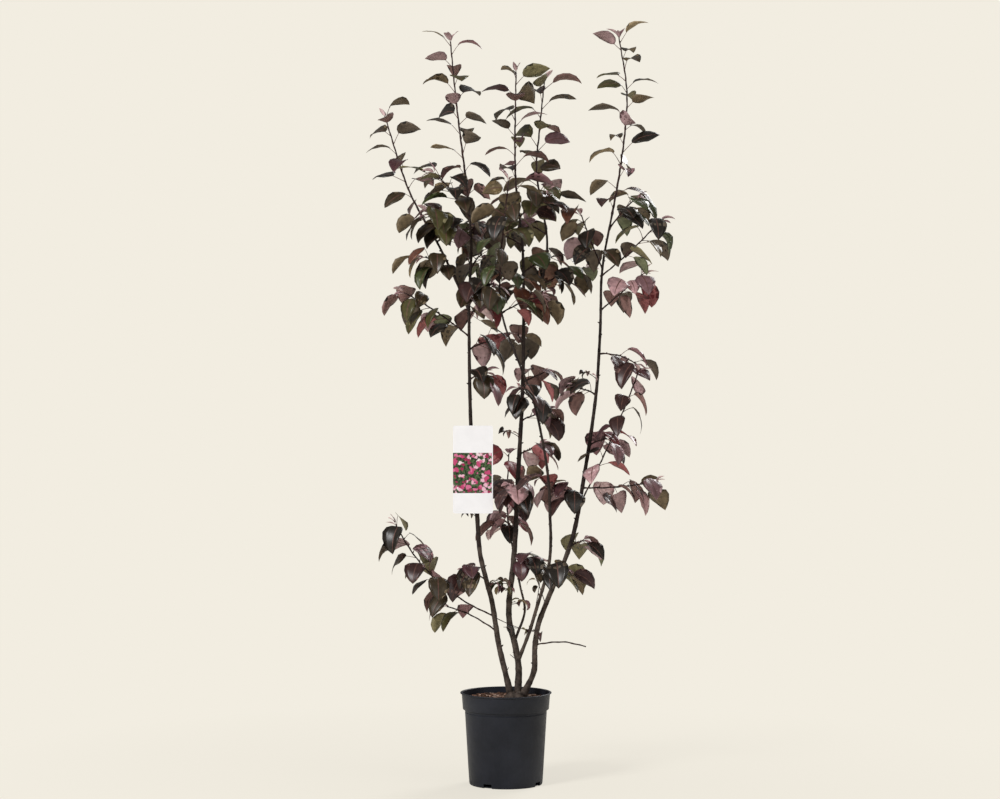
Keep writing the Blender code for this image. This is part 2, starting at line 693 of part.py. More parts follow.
def grow_limbs(grown):
    """The centre line and radii of every stem and bough, by name."""
    limbs = {}
    for name, stem in STEMS.items():
        line = smooth_route(stem["route"], STEM_STEP)
        radii = radii_along(line, stem["foot"], stem["end"], 0.85)
        limbs[name] = {"line": line, "radii": radii, "sides": STEM_SIDES,
                       "normal": np.array([0.0, 0.0, 1.0])}
    for name, bough in BOUGHS.items():
        parent = limbs[bough["from"]]
        start, along, share = at_height(parent["line"], bough["height"])
        radius = np.interp(share, np.linspace(0, 1, len(parent["radii"])), parent["radii"])
        line = smooth_route([start] + bough["route"], 0.004)
        line, normal = leave_limb(line, along, radius)
        line = with_foot(line, bough["foot"], STEM_STEP)
        limbs[name] = {"line": line, "radii": radii_along(line, bough["foot"], bough["end"]),
                       "sides": BOUGH_SIDES, "normal": normal}
    for name, limb in limbs.items():
        grown.add_tube(name, limb["line"], limb["radii"])
    return limbs


def side_shoot(limb, plan, grown):
    """The twig of a shoot that leaves a limb sideways. It is turned until it has room."""
    start, along, share = at_height(limb["line"], plan["height"])
    radius = np.interp(share, np.linspace(0, 1, len(limb["radii"])), limb["radii"])
    for nudge in (0, 14, -14, 28, -28, 42, -42, 60, -60, 80, -80):
        line = heading_line(start, plan["heading"] + nudge, plan["rises"], plan["length"])
        line, normal = leave_limb(line, along, radius)
        outer = evenly(line[np.linalg.norm(line - line[0], axis=1) > ROOM_BEYOND], ROOM_STEP)
        if not grown.hit(*tube(outer, np.full(len(outer), TWIG_ROOM), ROOM_SIDES)):
            break
    line = with_foot(line, SIDE_SHOOT_FOOT, TWIG_STEP)
    return {"line": line, "radii": radii_along(line, SIDE_SHOOT_FOOT, SHOOT_END),
            "normal": normal, "leaves": plan["leaves"], "bare": plan["bare"]}


def tip_shoot(limb, plan):
    """The twig that carries a limb on to its tip, starting just past the limb's cut end."""
    line = limb["line"]
    along = unit(line[-1] - line[-2])
    start = line[-1] + along * GAP
    line = smooth_route([start, start + along * 0.03] + plan["route"], TWIG_STEP)
    foot = min(TIP_SHOOT_FOOT, limb["radii"][-1])
    return {"line": line, "radii": radii_along(line, foot, SHOOT_END), "normal": along,
            "leaves": plan["leaves"], "bare": 0.02}


def spur_plans():
    """Each limb's spurs, spread evenly in height and turned on by the golden angle."""
    plans = {}
    for name, spur in SPURS.items():
        for k in range(spur["count"]):
            share = k / max(1, spur["count"] - 1)
            low, high = spur["heights"]
            short, long = spur["lengths"]
            plans[f"{name}_{k + 1}"] = {
                "limb": spur["limb"], "height": low + (high - low) * share,
                "heading": spur["heading"] + spur.get("turn", GOLDEN_DEGREES) * k,
                "rises": spur.get("rises", SPUR_RISES),
                "length": short + (long - short) * share, "leaves": spur["leaves"], "bare": 0.12}
    return plans


def grow_shoots(limbs, grown):
    """Every leafy shoot: first all the twigs, so that leaves keep clear of them, then leaves."""
    shoots = {}
    for name, plan in TIP_SHOOTS.items():
        shoots[name] = tip_shoot(limbs[plan["limb"]], plan)
        grown.add_tube(name, shoots[name]["line"], shoots[name]["radii"])
    for name, plan in {**SIDE_SHOOTS, **spur_plans()}.items():
        shoots[name] = side_shoot(limbs[plan["limb"]], plan, grown)
        grown.add_tube(name, shoots[name]["line"], shoots[name]["radii"])
    for k, (name, shoot) in enumerate(shoots.items()):
        shoot["grown"] = grow_leaves(name, shoot, grown, np.random.default_rng(SEED + k))
    return shoots


def make_limbs(limbs, collection):
    for name, limb in limbs.items():
        points, faces = tube(limb["line"], limb["radii"], limb["sides"], limb["normal"])
        bark(solid_object(name, points, faces, collection))


def make_shoot(name, shoot, collection):
    """One shoot: its twig and leaves, joined by one union. Where a leaf's root meets the twig
    too finely to leave a clean surface, all the roots are turned a little and joined again."""
    points, faces = tube(shoot["line"], shoot["radii"], TWIG_SIDES, shoot["normal"])
    for twist in ROOT_TWISTS:
        twig = solid_object(name, points, faces, collection)
        if not shoot["grown"]:
            bark(twig)
            return
        leaves = bpy.data.collections.new(f"{name}_leaves")
        bpy.context.scene.collection.children.link(leaves)
        for k, leaf in enumerate(shoot["grown"]):
            solid_object(f"{name}_leaf_{k}", *leaf_solid(leaf, twist=twist), leaves)
        combine(twig, "UNION", operand_type="COLLECTION", collection=leaves)
        for leaf in list(leaves.objects):
            bpy.data.objects.remove(leaf)
        bpy.data.collections.remove(leaves)
        if clean_up(twig.data):
            break
        print("joined again:", name)
        bpy.data.objects.remove(twig)
    else:
        raise RuntimeError(f"{name} can't be joined cleanly")
    foliage(twig)


def make_label(limb, grown, collection):
    """A flat card that hangs before the left stem, with a strap that loops round the stem."""
    centre, along, share = at_height(limb["line"], CARD_TOP - STRAP_WIDTH)
    radius = np.interp(share, np.linspace(0, 1, len(limb["radii"])), limb["radii"])
    inner = radius + STRAP_CLEARANCE
    front = centre[1] - CARD_SET_FORWARD
    bpy.ops.mesh.primitive_cube_add(size=1.0)
    card = bpy.context.object
    card.name = "label"
    for owner in list(card.users_collection):
        owner.objects.unlink(card)
    collection.objects.link(card)
    for vertex in card.data.vertices:
        vertex.co.x = vertex.co.x * CARD_WIDTH + centre[0] + CARD_SHIFT
        vertex.co.y = vertex.co.y * CARD_THICKNESS + front
        vertex.co.z = vertex.co.z * CARD_HEIGHT + CARD_TOP - CARD_HEIGHT / 2
    corners = np.array([v.co[:] for v in card.data.vertices])
    wider = corners + np.sign(corners - corners.mean(axis=0)) * 2 * SPARE
    grown.add("label", wider, [tuple(f.vertices) for f in card.data.polygons])
    profile = [(inner, STRAP_WIDTH), (inner + STRAP_THICKNESS, STRAP_WIDTH),
               (inner + STRAP_THICKNESS, 0.0), (inner, 0.0), (inner, STRAP_WIDTH)]
    strap = turned("strap", profile, STRAP_SEGMENTS, collection)
    stretch = (CARD_SET_FORWARD + CARD_THICKNESS / 2 - inner) / inner
    for vertex in strap.data.vertices:
        if vertex.co.y < 0:
            vertex.co.y *= 1.0 + stretch
        vertex.co.x += centre[0]
        vertex.co.y += centre[1]
        vertex.co.z += CARD_TOP - 1.5 * STRAP_WIDTH
    face_outwards(strap.data)
    combine(card, "UNION", object=strap)
    bpy.data.objects.remove(strap)
    label_card(card)


def main():
    for old in list(bpy.data.objects):
        bpy.data.objects.remove(old)
    scene = bpy.context.scene.collection
    plant = bpy.data.collections.new("potted_crabapple")
    cutters = bpy.data.collections.new("cutters")
    scene.children.link(plant)
    scene.children.link(cutters)
    make_pot(plant, cutters)
    make_soil(plant)
    make_stool(plant)
    grown = Grown()
    limbs = grow_limbs(grown)
    make_label(limbs["stem_left"], grown, plant)
    shoots = grow_shoots(limbs, grown)
    make_limbs(limbs, plant)
    for name, shoot in shoots.items():
        make_shoot(name, shoot, plant)
    print("leaves:", sum(len(s["grown"]) for s in shoots.values()),
          "of", sum(s["leaves"] for s in shoots.values()))


main()
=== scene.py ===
import math

import bmesh
import bpy
import numpy as np
from mathutils.bvhtree import BVHTree
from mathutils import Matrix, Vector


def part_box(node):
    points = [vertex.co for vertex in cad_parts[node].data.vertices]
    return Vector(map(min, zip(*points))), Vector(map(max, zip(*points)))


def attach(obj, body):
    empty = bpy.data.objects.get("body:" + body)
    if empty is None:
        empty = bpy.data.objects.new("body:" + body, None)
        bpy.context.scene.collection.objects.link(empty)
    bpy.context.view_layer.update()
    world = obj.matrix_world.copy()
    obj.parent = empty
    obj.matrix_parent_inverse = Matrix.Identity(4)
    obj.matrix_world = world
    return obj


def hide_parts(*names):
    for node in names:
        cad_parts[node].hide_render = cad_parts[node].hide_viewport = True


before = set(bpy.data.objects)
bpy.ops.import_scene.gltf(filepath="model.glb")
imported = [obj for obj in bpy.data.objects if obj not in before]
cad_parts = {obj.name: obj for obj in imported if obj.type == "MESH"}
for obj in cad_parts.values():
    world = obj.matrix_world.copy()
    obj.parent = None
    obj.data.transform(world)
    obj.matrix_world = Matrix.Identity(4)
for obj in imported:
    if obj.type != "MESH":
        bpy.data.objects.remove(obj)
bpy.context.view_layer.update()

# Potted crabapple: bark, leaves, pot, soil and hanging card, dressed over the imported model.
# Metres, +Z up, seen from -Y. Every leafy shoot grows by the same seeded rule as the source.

print("frame loaded:", len(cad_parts), "nodes")


# Colours and small tools.

def srgb(r, g, b):
    # each 0-255 value, as the eye sees it, made linear: below 0.04 divided, above raised to 2.4
    c = np.array([r, g, b], float) / 255.0
    linear = np.where(c <= 0.04045, c / 12.92, ((c + 0.055) / 1.055) ** 2.4)
    return tuple(float(v) for v in linear)


def unit(v):
    # a vector divided by its length
    return v / max(np.linalg.norm(v), 1e-12)


def sideOf(along):
    # square to a direction: its cross product with one near upright, or near level where it is steep
    return unit(np.cross(along, [0.27, 0.11, 0.95] if abs(along[2]) < 0.9 else [0.95, 0.2, 0.1]))


boxSigns = np.array([(x, y, z) for x in (-1, 1) for y in (-1, 1) for z in (-1, 1)], float)
boxFaces = [(0, 1, 3, 2), (4, 6, 7, 5), (0, 4, 5, 1), (2, 3, 7, 6), (0, 2, 6, 4), (1, 5, 7, 3)]


def joined(parts):
    # points stacked, and each part's faces moved on by the points before it
    firsts = np.cumsum([0] + [len(points) for points, _ in parts])
    faces = [tuple(i + first for i in f) for (_, own), first in zip(parts, firsts) for f in own]
    return np.vstack([points for points, _ in parts]), faces


def addPiece(name, points, faces, materials, slots, nodes, faceUv=None, smooth=True):
    # points and faces put into one mesh, with a material number for each face
    mesh = bpy.data.meshes.new(name)
    mesh.from_pydata(np.asarray(points).tolist(), [], [tuple(int(i) for i in f) for f in faces])
    for material in materials:
        mesh.materials.append(material)
    mesh.polygons.foreach_set("material_index", np.asarray(slots, np.int32))
    mesh.polygons.foreach_set("use_smooth", np.full(len(faces), smooth))
    mesh.update()
    piece = bpy.data.objects.new(name, mesh)
    bpy.context.scene.collection.objects.link(piece)
    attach(piece, "root")
    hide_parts(*nodes)
    return piece


def faceOutwards(piece):
    # every face turned so that its normal points out of the closed body
    work = bmesh.new()
    work.from_mesh(piece.data)
    bmesh.ops.recalc_face_normals(work, faces=work.faces)
    work.to_mesh(piece.data)
    work.free()


# Materials.

def newMaterial(name, colour, roughness, specular=0.5):
    # a plain material: its name, its node tree and its one shader
    material = bpy.data.materials.new(name)
    material.use_nodes = True
    shader = material.node_tree.nodes["Principled BSDF"]
    shader.inputs["Base Color"].default_value = (*colour, 1.0)
    shader.inputs["Roughness"].default_value = roughness
    shader.inputs["Specular IOR Level"].default_value = specular
    return material, material.node_tree, shader


def addNode(tree, kind, **values):
    # a node whose inputs, or else its settings, take the values by name
    node = tree.nodes.new(kind)
    for key, value in values.items():
        if key in node.inputs:
            node.inputs[key].default_value = value
        else:
            setattr(node, key, value)
    return node


def noiseOf(tree, scale, detail=3.0, rough=0.55):
    # noise over the piece's own coordinates: a sum of finer and weaker layers
    place = addNode(tree, "ShaderNodeTexCoord")
    noise = addNode(tree, "ShaderNodeTexNoise", Scale=scale, Detail=detail, Roughness=rough)
    tree.links.new(place.outputs["Object"], noise.inputs["Vector"])
    return noise


def tintBy(tree, shader, factor, darker, lighter, low=0.35, high=0.65):
    # base colour from the darker tone to the lighter one as the factor goes from low to high
    ramp = addNode(tree, "ShaderNodeValToRGB")
    ramp.color_ramp.elements[0].position = low
    ramp.color_ramp.elements[0].color = (*darker, 1.0)
    ramp.color_ramp.elements[1].position = high
    ramp.color_ramp.elements[1].color = (*lighter, 1.0)
    tree.links.new(factor, ramp.inputs["Fac"])
    tree.links.new(ramp.outputs["Color"], shader.inputs["Base Color"])
    return ramp


def bumpBy(tree, shader, height, strength, distance):
    # the shading normal tilted by the slope of a height
    bump = addNode(tree, "ShaderNodeBump", Strength=strength, Distance=distance)
    tree.links.new(height, bump.inputs["Height"])
    tree.links.new(bump.outputs["Normal"], shader.inputs["Normal"])
    return bump


def mapRange(tree, value, fromLow, fromHigh, toLow, toHigh):
    # a value moved evenly from one range to the other, and held inside it
    node = addNode(tree, "ShaderNodeMapRange")
    edges = {"From Min": fromLow, "From Max": fromHigh, "To Min": toLow, "To Max": toHigh}
    for key, edge in edges.items():
        node.inputs[key].default_value = edge
    tree.links.new(value, node.inputs["Value"])
    return node.outputs["Result"]


def leafMaterial(name, colour, roughness, mottle=0.22):
    # a plain tone, a little darker and lighter by fine noise, with a pebbled skin
    material, tree, shader = newMaterial(name, colour, roughness, 0.45)
    noise = noiseOf(tree, 95.0)
    darker = tuple(v * (1 - mottle) for v in colour)
    lighter = tuple(v * (1 + mottle) + 0.002 for v in colour)
    tintBy(tree, shader, noise.outputs["Fac"], darker, lighter)
    fine = noiseOf(tree, 420.0, 2.0)
    bumpBy(tree, shader, fine.outputs["Fac"], 0.15, 0.0006)
    return material


def barkMaterial(name, dark, light, scale):
    # two browns by noise, with small pale pores
    material, tree, shader = newMaterial(name, dark, 0.74, 0.2)
    noise = noiseOf(tree, scale, 6.0, 0.65)
    ramp = tintBy(tree, shader, noise.outputs["Fac"], dark, light, 0.38, 0.66)
    pale = ramp.color_ramp.elements.new(0.80)
    pale.color = (*tuple(min(1.0, v * 1.7) for v in light), 1.0)
    fine = noiseOf(tree, scale * 5.0, 4.0)
    bumpBy(tree, shader, fine.outputs["Fac"], 0.6, 0.0010)
    return material


leafTones = {   # name: (colour of the upper face, colour of the underside)
    "dark": (srgb(34, 28, 22), srgb(92, 80, 66)),
    "bronze": (srgb(58, 47, 30), srgb(112, 96, 72)),
    "olive": (srgb(72, 68, 36), srgb(122, 114, 80)),
    "green": (srgb(60, 68, 36), srgb(112, 116, 86)),
    "khaki": (srgb(112, 94, 62), srgb(156, 136, 104)),
    "brownPurple": (srgb(60, 38, 36), srgb(128, 96, 90)),
    "purple": (srgb(78, 48, 52), srgb(150, 110, 114)),
    "rust": (srgb(100, 60, 44), srgb(142, 104, 86)),
    "red": (srgb(116, 46, 50), srgb(158, 92, 92)),
    "mauve": (srgb(122, 90, 94), srgb(172, 142, 144)),
    "pink": (srgb(190, 150, 152), srgb(214, 184, 184)),
}
shine = {"upper": 0.36, "under": 0.62, "rib": 0.5, "stalk": 0.5}   # roughness of each
leafFinish = {name: (leafMaterial(f"leaf_{name}", upper, shine["upper"]),
                     leafMaterial(f"under_{name}", under, shine["under"]))
              for name, (upper, under) in leafTones.items()}
toneNames = list(leafTones)
ribFinish = leafMaterial("leaf_rib", srgb(98, 66, 58), shine["rib"])
stalkFinish = leafMaterial("leaf_stalk", srgb(96, 58, 54), shine["stalk"])
barkFinish = {
    "old": barkMaterial("bark_old", srgb(50, 42, 37), srgb(96, 84, 76), 60.0),
    "young": barkMaterial("bark_young", srgb(34, 27, 25), srgb(62, 50, 45), 80.0),
    "twig": barkMaterial("bark_twig", srgb(40, 27, 26), srgb(72, 52, 48), 110.0),
}


# Growth: the same rule, sizes and seed as the source.

gap = 0.0003
soilTop = 0.2230
stoolTop = soilTop + gap + 0.0165

stems = {
    "stem_left": {
        "route": [(0.012, 0.003, stoolTop + gap), (-0.018, 0.000, 0.360), (-0.036, -0.006, 0.475),
                  (-0.067, -0.014, 0.600), (-0.076, -0.022, 0.720), (-0.092, -0.035, 0.950),
                  (-0.096, -0.048, 1.250), (-0.090, -0.055, 1.400), (-0.098, -0.062, 1.520)],
        "foot": 0.0078, "end": 0.0029},
    "stem_centre": {
        "route": [(0.031, 0.010, stoolTop + gap), (0.034, 0.014, 0.295), (0.029, 0.018, 0.345),
                  (0.012, 0.022, 0.400), (0.009, 0.026, 0.480), (0.022, 0.034, 0.600),
                  (0.032, 0.044, 0.800), (0.042, 0.052, 0.980), (0.047, 0.056, 1.150),
                  (0.045, 0.056, 1.400), (0.032, 0.052, 1.520)],
        "foot": 0.0090, "end": 0.0030},
    "stem_right": {
        "route": [(0.046, -0.009, stoolTop + gap), (0.071, -0.014, 0.286), (0.074, -0.014, 0.335),
                  (0.083, -0.012, 0.410), (0.108, -0.008, 0.480), (0.172, 0.000, 0.635),
                  (0.203, 0.006, 0.790), (0.236, 0.014, 1.010), (0.249, 0.022, 1.200),
                  (0.254, 0.028, 1.350), (0.281, 0.032, 1.500)],
        "foot": 0.0078, "end": 0.0027},
}
boughs = {
    "bough_front": {
        "from": "stem_centre", "height": 0.318, "foot": 0.0048, "end": 0.0022,
        "route": [(0.056, -0.004, 0.382), (0.080, -0.030, 0.462), (0.113, -0.062, 0.587),
                  (0.114, -0.088, 0.700), (0.106, -0.104, 0.830), (0.072, -0.118, 1.000),
                  (0.028, -0.130, 1.115), (-0.012, -0.142, 1.230), (-0.016, -0.150, 1.320)]},
    "bough_back": {
        "from": "stem_centre", "height": 0.372, "foot": 0.0036, "end": 0.0020,
        "route": [(0.050, 0.060, 0.440), (0.034, 0.098, 0.530), (0.012, 0.128, 0.640)]},
    "bough_fork": {
        "from": "stem_centre", "height": 1.215, "foot": 0.0040, "end": 0.0026,
        "route": [(0.078, 0.074, 1.266), (0.106, 0.094, 1.369), (0.110, 0.108, 1.440),
                  (0.102, 0.118, 1.500)]},
    "bough_left": {
        "from": "stem_left", "height": 1.240, "foot": 0.0038, "end": 0.0026,
        "route": [(-0.124, -0.044, 1.304), (-0.170, -0.034, 1.400), (-0.205, -0.024, 1.462)]},
}
tipShoots = {
    "tip_left": {"limb": "stem_left", "leaves": 18,
                 "route": [(-0.128, -0.074, 1.770), (-0.144, -0.084, 1.935)]},
    "tip_centre": {"limb": "stem_centre", "leaves": 16,
                   "route": [(0.024, 0.046, 1.680), (0.027, 0.040, 1.875)]},
    "tip_right": {"limb": "stem_right", "leaves": 20,
                  "route": [(0.308, 0.034, 1.660), (0.320, 0.036, 1.815), (0.299, 0.040, 1.965)]},
    "tip_front": {"limb": "bough_front", "leaves": 16,
                  "route": [(-0.008, -0.164, 1.430), (0.006, -0.176, 1.565)]},
    "tip_back": {"limb": "bough_back", "leaves": 11,
                 "route": [(0.004, 0.160, 0.750), (0.008, 0.190, 0.860)]},
    "tip_fork": {"limb": "bough_fork", "leaves": 16,
                 "route": [(0.082, 0.132, 1.620), (0.091, 0.140, 1.735), (0.104, 0.146, 1.865)]},
    "tip_far_left": {"limb": "bough_left", "leaves": 13,
                     "route": [(-0.262, -0.012, 1.575), (-0.318, 0.004, 1.752)]},
}
sideShoots = {   # headings are degrees round from +X, rises are degrees above level
    "shoot_low_left": {"limb": "stem_left", "height": 0.440, "heading": 190, "rises": (22, 64),
                       "length": 0.365, "leaves": 18, "bare": 0.3},
    "shoot_lowest_left": {"limb": "stem_left", "height": 0.398, "heading": 160, "rises": (36, 12),
                          "length": 0.155, "leaves": 4, "bare": 0.45},
    "shoot_mid_left": {"limb": "stem_left", "height": 1.172, "heading": 184, "rises": (40, 28),
                       "length": 0.205, "leaves": 12, "bare": 0.12},
    "shoot_low_right": {"limb": "stem_right", "height": 0.731, "heading": -14, "rises": (60, 68),
                        "length": 0.390, "leaves": 12, "bare": 0.2},
    "shoot_flat_right": {"limb": "stem_right", "height": 0.776, "heading": 16, "rises": (-2, 10),
                         "length": 0.205, "leaves": 10, "bare": 0.1},
    "shoot_drooping_right": {"limb": "stem_right", "height": 1.128, "heading": 2, "rises": (4, -34),
                             "length": 0.105, "leaves": 5, "bare": 0.1},
    "shoot_small_right": {"limb": "stem_right", "height": 1.243, "heading": 12, "rises": (40, 40),
                          "length": 0.150, "leaves": 9, "bare": 0.15},
    "shoot_high_right": {"limb": "stem_right", "height": 1.335, "heading": -6, "rises": (38, 48),
                         "length": 0.210, "leaves": 9, "bare": 0.3},
    "shoot_inner_high": {"limb": "stem_right", "height": 1.352, "heading": 150, "rises": (66, 70),
                         "length": 0.155, "leaves": 11, "bare": 0.1},
    "twig_bare": {"limb": "stem_right", "height": 0.364, "heading": -4, "rises": (16, -18),
                  "length": 0.135, "leaves": 0, "bare": 1.0},
}
spurs = {   # each limb's short shoots, at even heights, turned on by the golden angle or by turn
    "spur_left": {"limb": "stem_left", "heights": (1.255, 1.430), "count": 3,
                  "heading": 300, "lengths": (0.130, 0.140), "leaves": 12},
    "spur_left_top": {"limb": "stem_left", "heights": (1.480, 1.480), "count": 1,
                      "heading": 205, "rises": (58, 40), "lengths": (0.150, 0.150), "leaves": 11},
    "spur_left_low": {"limb": "stem_left", "heights": (1.060, 1.215), "count": 3,
                      "heading": 340, "turn": 50, "lengths": (0.045, 0.075), "leaves": 6},
    "spur_left_foot": {"limb": "stem_left", "heights": (0.535, 0.535), "count": 1,
                       "heading": 185, "lengths": (0.050, 0.050), "leaves": 5},
    "spur_centre_low": {"limb": "stem_centre", "heights": (0.560, 0.860), "count": 4,
                        "heading": 340, "lengths": (0.060, 0.075), "leaves": 7},
    "spur_centre_middle": {"limb": "stem_centre", "heights": (0.950, 1.150), "count": 3,
                           "heading": 340, "turn": 60, "lengths": (0.075, 0.085), "leaves": 7},
    "spur_centre_high": {"limb": "stem_centre", "heights": (1.270, 1.490), "count": 4,
                         "heading": 255, "lengths": (0.140, 0.130), "leaves": 11},
    "spur_right": {"limb": "stem_right", "heights": (0.620, 1.020), "count": 4,
                   "heading": 20, "turn": 170, "lengths": (0.045, 0.055), "leaves": 6},
    "spur_right_high": {"limb": "stem_right", "heights": (1.455, 1.455), "count": 1,
                        "heading": 12, "rises": (58, 40), "lengths": (0.115, 0.115), "leaves": 10},
    "spur_front": {"limb": "bough_front", "heights": (0.545, 1.230), "count": 4,
                   "heading": 330, "lengths": (0.060, 0.120), "leaves": 8},
    "spur_fork": {"limb": "bough_fork", "heights": (1.310, 1.450), "count": 2,
                  "heading": 20, "lengths": (0.140, 0.130), "leaves": 11},
    "spur_far_left": {"limb": "bough_left", "heights": (1.330, 1.420), "count": 2,
                      "heading": 230, "lengths": (0.120, 0.110), "leaves": 9},
}
growth = {
    "stemStep": 0.062, "twigStep": 0.055, "spurRises": (32.0, 12.0), "golden": 137.5,
    "sideFoot": 0.0017, "tipFoot": 0.0025, "end": 0.0013,
    "spare": 0.0009, "twigRoom": 0.0060, "roomBeyond": 0.012, "roomStep": 0.02,
    "roomSides": 6, "tries": 14, "rootShare": 0.42, "seed": 777, "sunk": 0.004, "tipBare": 0.02,
    "spurBare": 0.12,
}
leaf = {
    "length": 0.079, "width": 0.049, "shortBelow": 0.91, "broadBelow": 1.08, "narrowAbove": 0.94,
    "solidThickness": 0.0018, "middle": 0.42, "corners": (0.20, 0.62),
    "stalkShare": 0.42, "stalkRadius": 0.0008, "stalkAngle": 56.0,
    "heldOutAbove": 1.68, "hangingBelow": 1.40, "tipLift": 26.0, "fold": 16.0,
    "heldOut": {"start": 24.0, "bend": -58.0}, "hanging": {"start": -24.0, "bend": -54.0},
}
card = {"width": 0.104, "height": 0.229, "thickness": 0.0012, "top": 0.940, "forward": 0.0095,
        "shift": 0.005,
        "strapWidth": 0.010, "strapThickness": 0.0012, "strapClearance": 0.0012,
        "strapSides": 48, "border": (0.003, 0.010), "printed": (0.071, 0.176), "corner": 0.005}


def smoothRoute(places, step):
    # a Catmull-Rom curve through the places: each stretch a cubic of its four nearest places
    places = np.array(places, float)
    ends = np.vstack([2 * places[0] - places[1], places, 2 * places[-1] - places[-2]])
    fine = []
    for i in range(1, len(ends) - 2):
        a, b, c, d = ends[i - 1], ends[i], ends[i + 1], ends[i + 2]
        t = np.linspace(0.0, 1.0, 24, endpoint=False)[:, None]
        fine.append(0.5 * (2 * b + (c - a) * t + (2 * a - 5 * b + 4 * c - d) * t**2
                           + (3 * b - a - 3 * c + d) * t**3))
    return evenly(np.vstack(fine + [ends[-2][None]]), step)


def lengthsOf(points):
    # distance along the line to each point: the steps' lengths added up
    return np.r_[0.0, np.cumsum(np.linalg.norm(np.diff(points, axis=0), axis=1))]


def evenly(points, step):
    # the same line, its points spaced as near to step as fits its length
    lengths = lengthsOf(points)
    even = np.linspace(0.0, lengths[-1], max(2, int(round(lengths[-1] / step)) + 1))
    return np.column_stack([np.interp(even, lengths, points[:, k]) for k in range(3)])


def atHeight(points, height):
    # where a rising line passes a height: the place, the direction and the share along
    i = int(np.argmax(points[:, 2] > height))
    a, b = points[i - 1], points[i]
    share = (height - a[2]) / (b[2] - a[2])
    return a + (b - a) * share, unit(b - a), (i - 1 + share) / (len(points) - 1)


def headingLine(start, heading, rises, length):
    # steps of one heading whose rise changes evenly, added up
    turn = math.radians(heading)
    count = max(4, int(round(length / 0.01)))
    rise = np.radians(np.linspace(rises[0], rises[1], count))
    steps = np.column_stack([np.cos(rise) * math.cos(turn), np.cos(rise) * math.sin(turn),
                             np.sin(rise)]) * length / count
    return np.vstack([start, start + np.cumsum(steps, axis=0)])


def leaveLimb(line, limbDirection, limbRadius):
    # the line from where it comes out of the limb's surface, and that surface's direction
    out = line[min(3, len(line) - 1)] - line[0]
    out = unit(out - limbDirection * (out @ limbDirection))
    away = (line - line[0]) @ out
    reach = limbRadius + gap
    i = int(np.argmax(away > reach))
    share = (reach - away[i - 1]) / (away[i] - away[i - 1])
    return np.vstack([line[i - 1] + (line[i] - line[i - 1]) * share, line[i:]]), out


def withFoot(line, radius, step):
    # even steps after a first one long enough for a slanted foot
    i = int(np.argmax(lengthsOf(line) > max(0.010, 3.2 * radius)))
    return np.vstack([line[:1], evenly(line[i:], step)])


def ringsAlong(points, radii, sides, footNormal=None):
    # circles of each radius set square to the line; the first may lie in another plane
    points = np.array(points, float)
    radii = np.array(radii, float)[:len(points)]
    tangents = np.gradient(points, axis=0)
    tangents = np.array([unit(t) for t in tangents])
    side = unit(np.cross(tangents[0], [0.31, 0.95, 0.12]))
    turns = np.arange(sides) * 2 * math.pi / sides
    rings = []
    for k, (centre, along, radius) in enumerate(zip(points, tangents, radii)):
        side = unit(side - along * (side @ along))
        other = np.cross(along, side)
        ring = centre + radius * (np.cos(turns)[:, None] * side + np.sin(turns)[:, None] * other)
        if k == 0 and footNormal is not None:
            slide = -((ring - centre) @ footNormal) / (along @ footNormal)
            ring = ring + slide[:, None] * along
        rings.append(ring)
    return np.vstack(rings)


def tubeFaces(count, sides):
    # quads between each ring and the next, and a cap at each end
    k, j = np.meshgrid(np.arange(count - 1), np.arange(sides), indexing="ij")
    a, b = k * sides + j, k * sides + (j + 1) % sides
    quads = np.stack([a, b, b + sides, a + sides], axis=-1).reshape(-1, 4)
    bottom, top = tuple(range(sides - 1, -1, -1)), tuple(range((count - 1) * sides, count * sides))
    return [bottom] + [tuple(q) for q in quads.tolist()] + [top]


def solidTube(points, radii, sides, footNormal=None):
    # rings along the line and the faces between them, closed at both ends
    return ringsAlong(points, radii, sides, footNormal), tubeFaces(len(points), sides)


def radiiAlong(points, foot, end, power=1.0):
    # from foot to end by the share along the line, raised to a power
    return foot + (end - foot) * np.linspace(0.0, 1.0, len(points)) ** power


def radiusAt(radii, shares):
    # the radius at shares of the way along, straight between the line's own
    return np.interp(shares, np.linspace(0, 1, len(radii)), radii)


def placeOn(line, lengths, spot):
    # the place at a distance along the line, its direction, and the count of steps before it
    i = int(np.clip(np.searchsorted(lengths, spot), 1, len(line) - 1))
    inside = (spot - lengths[i - 1]) / (lengths[i] - lengths[i - 1])
    return line[i - 1] + (line[i] - line[i - 1]) * inside, unit(line[i] - line[i - 1]), i - 1 + inside


def treeOf(points, faces):
    # the shape sorted by place, to find what touches it
    return BVHTree.FromPolygons(points.tolist(), faces)


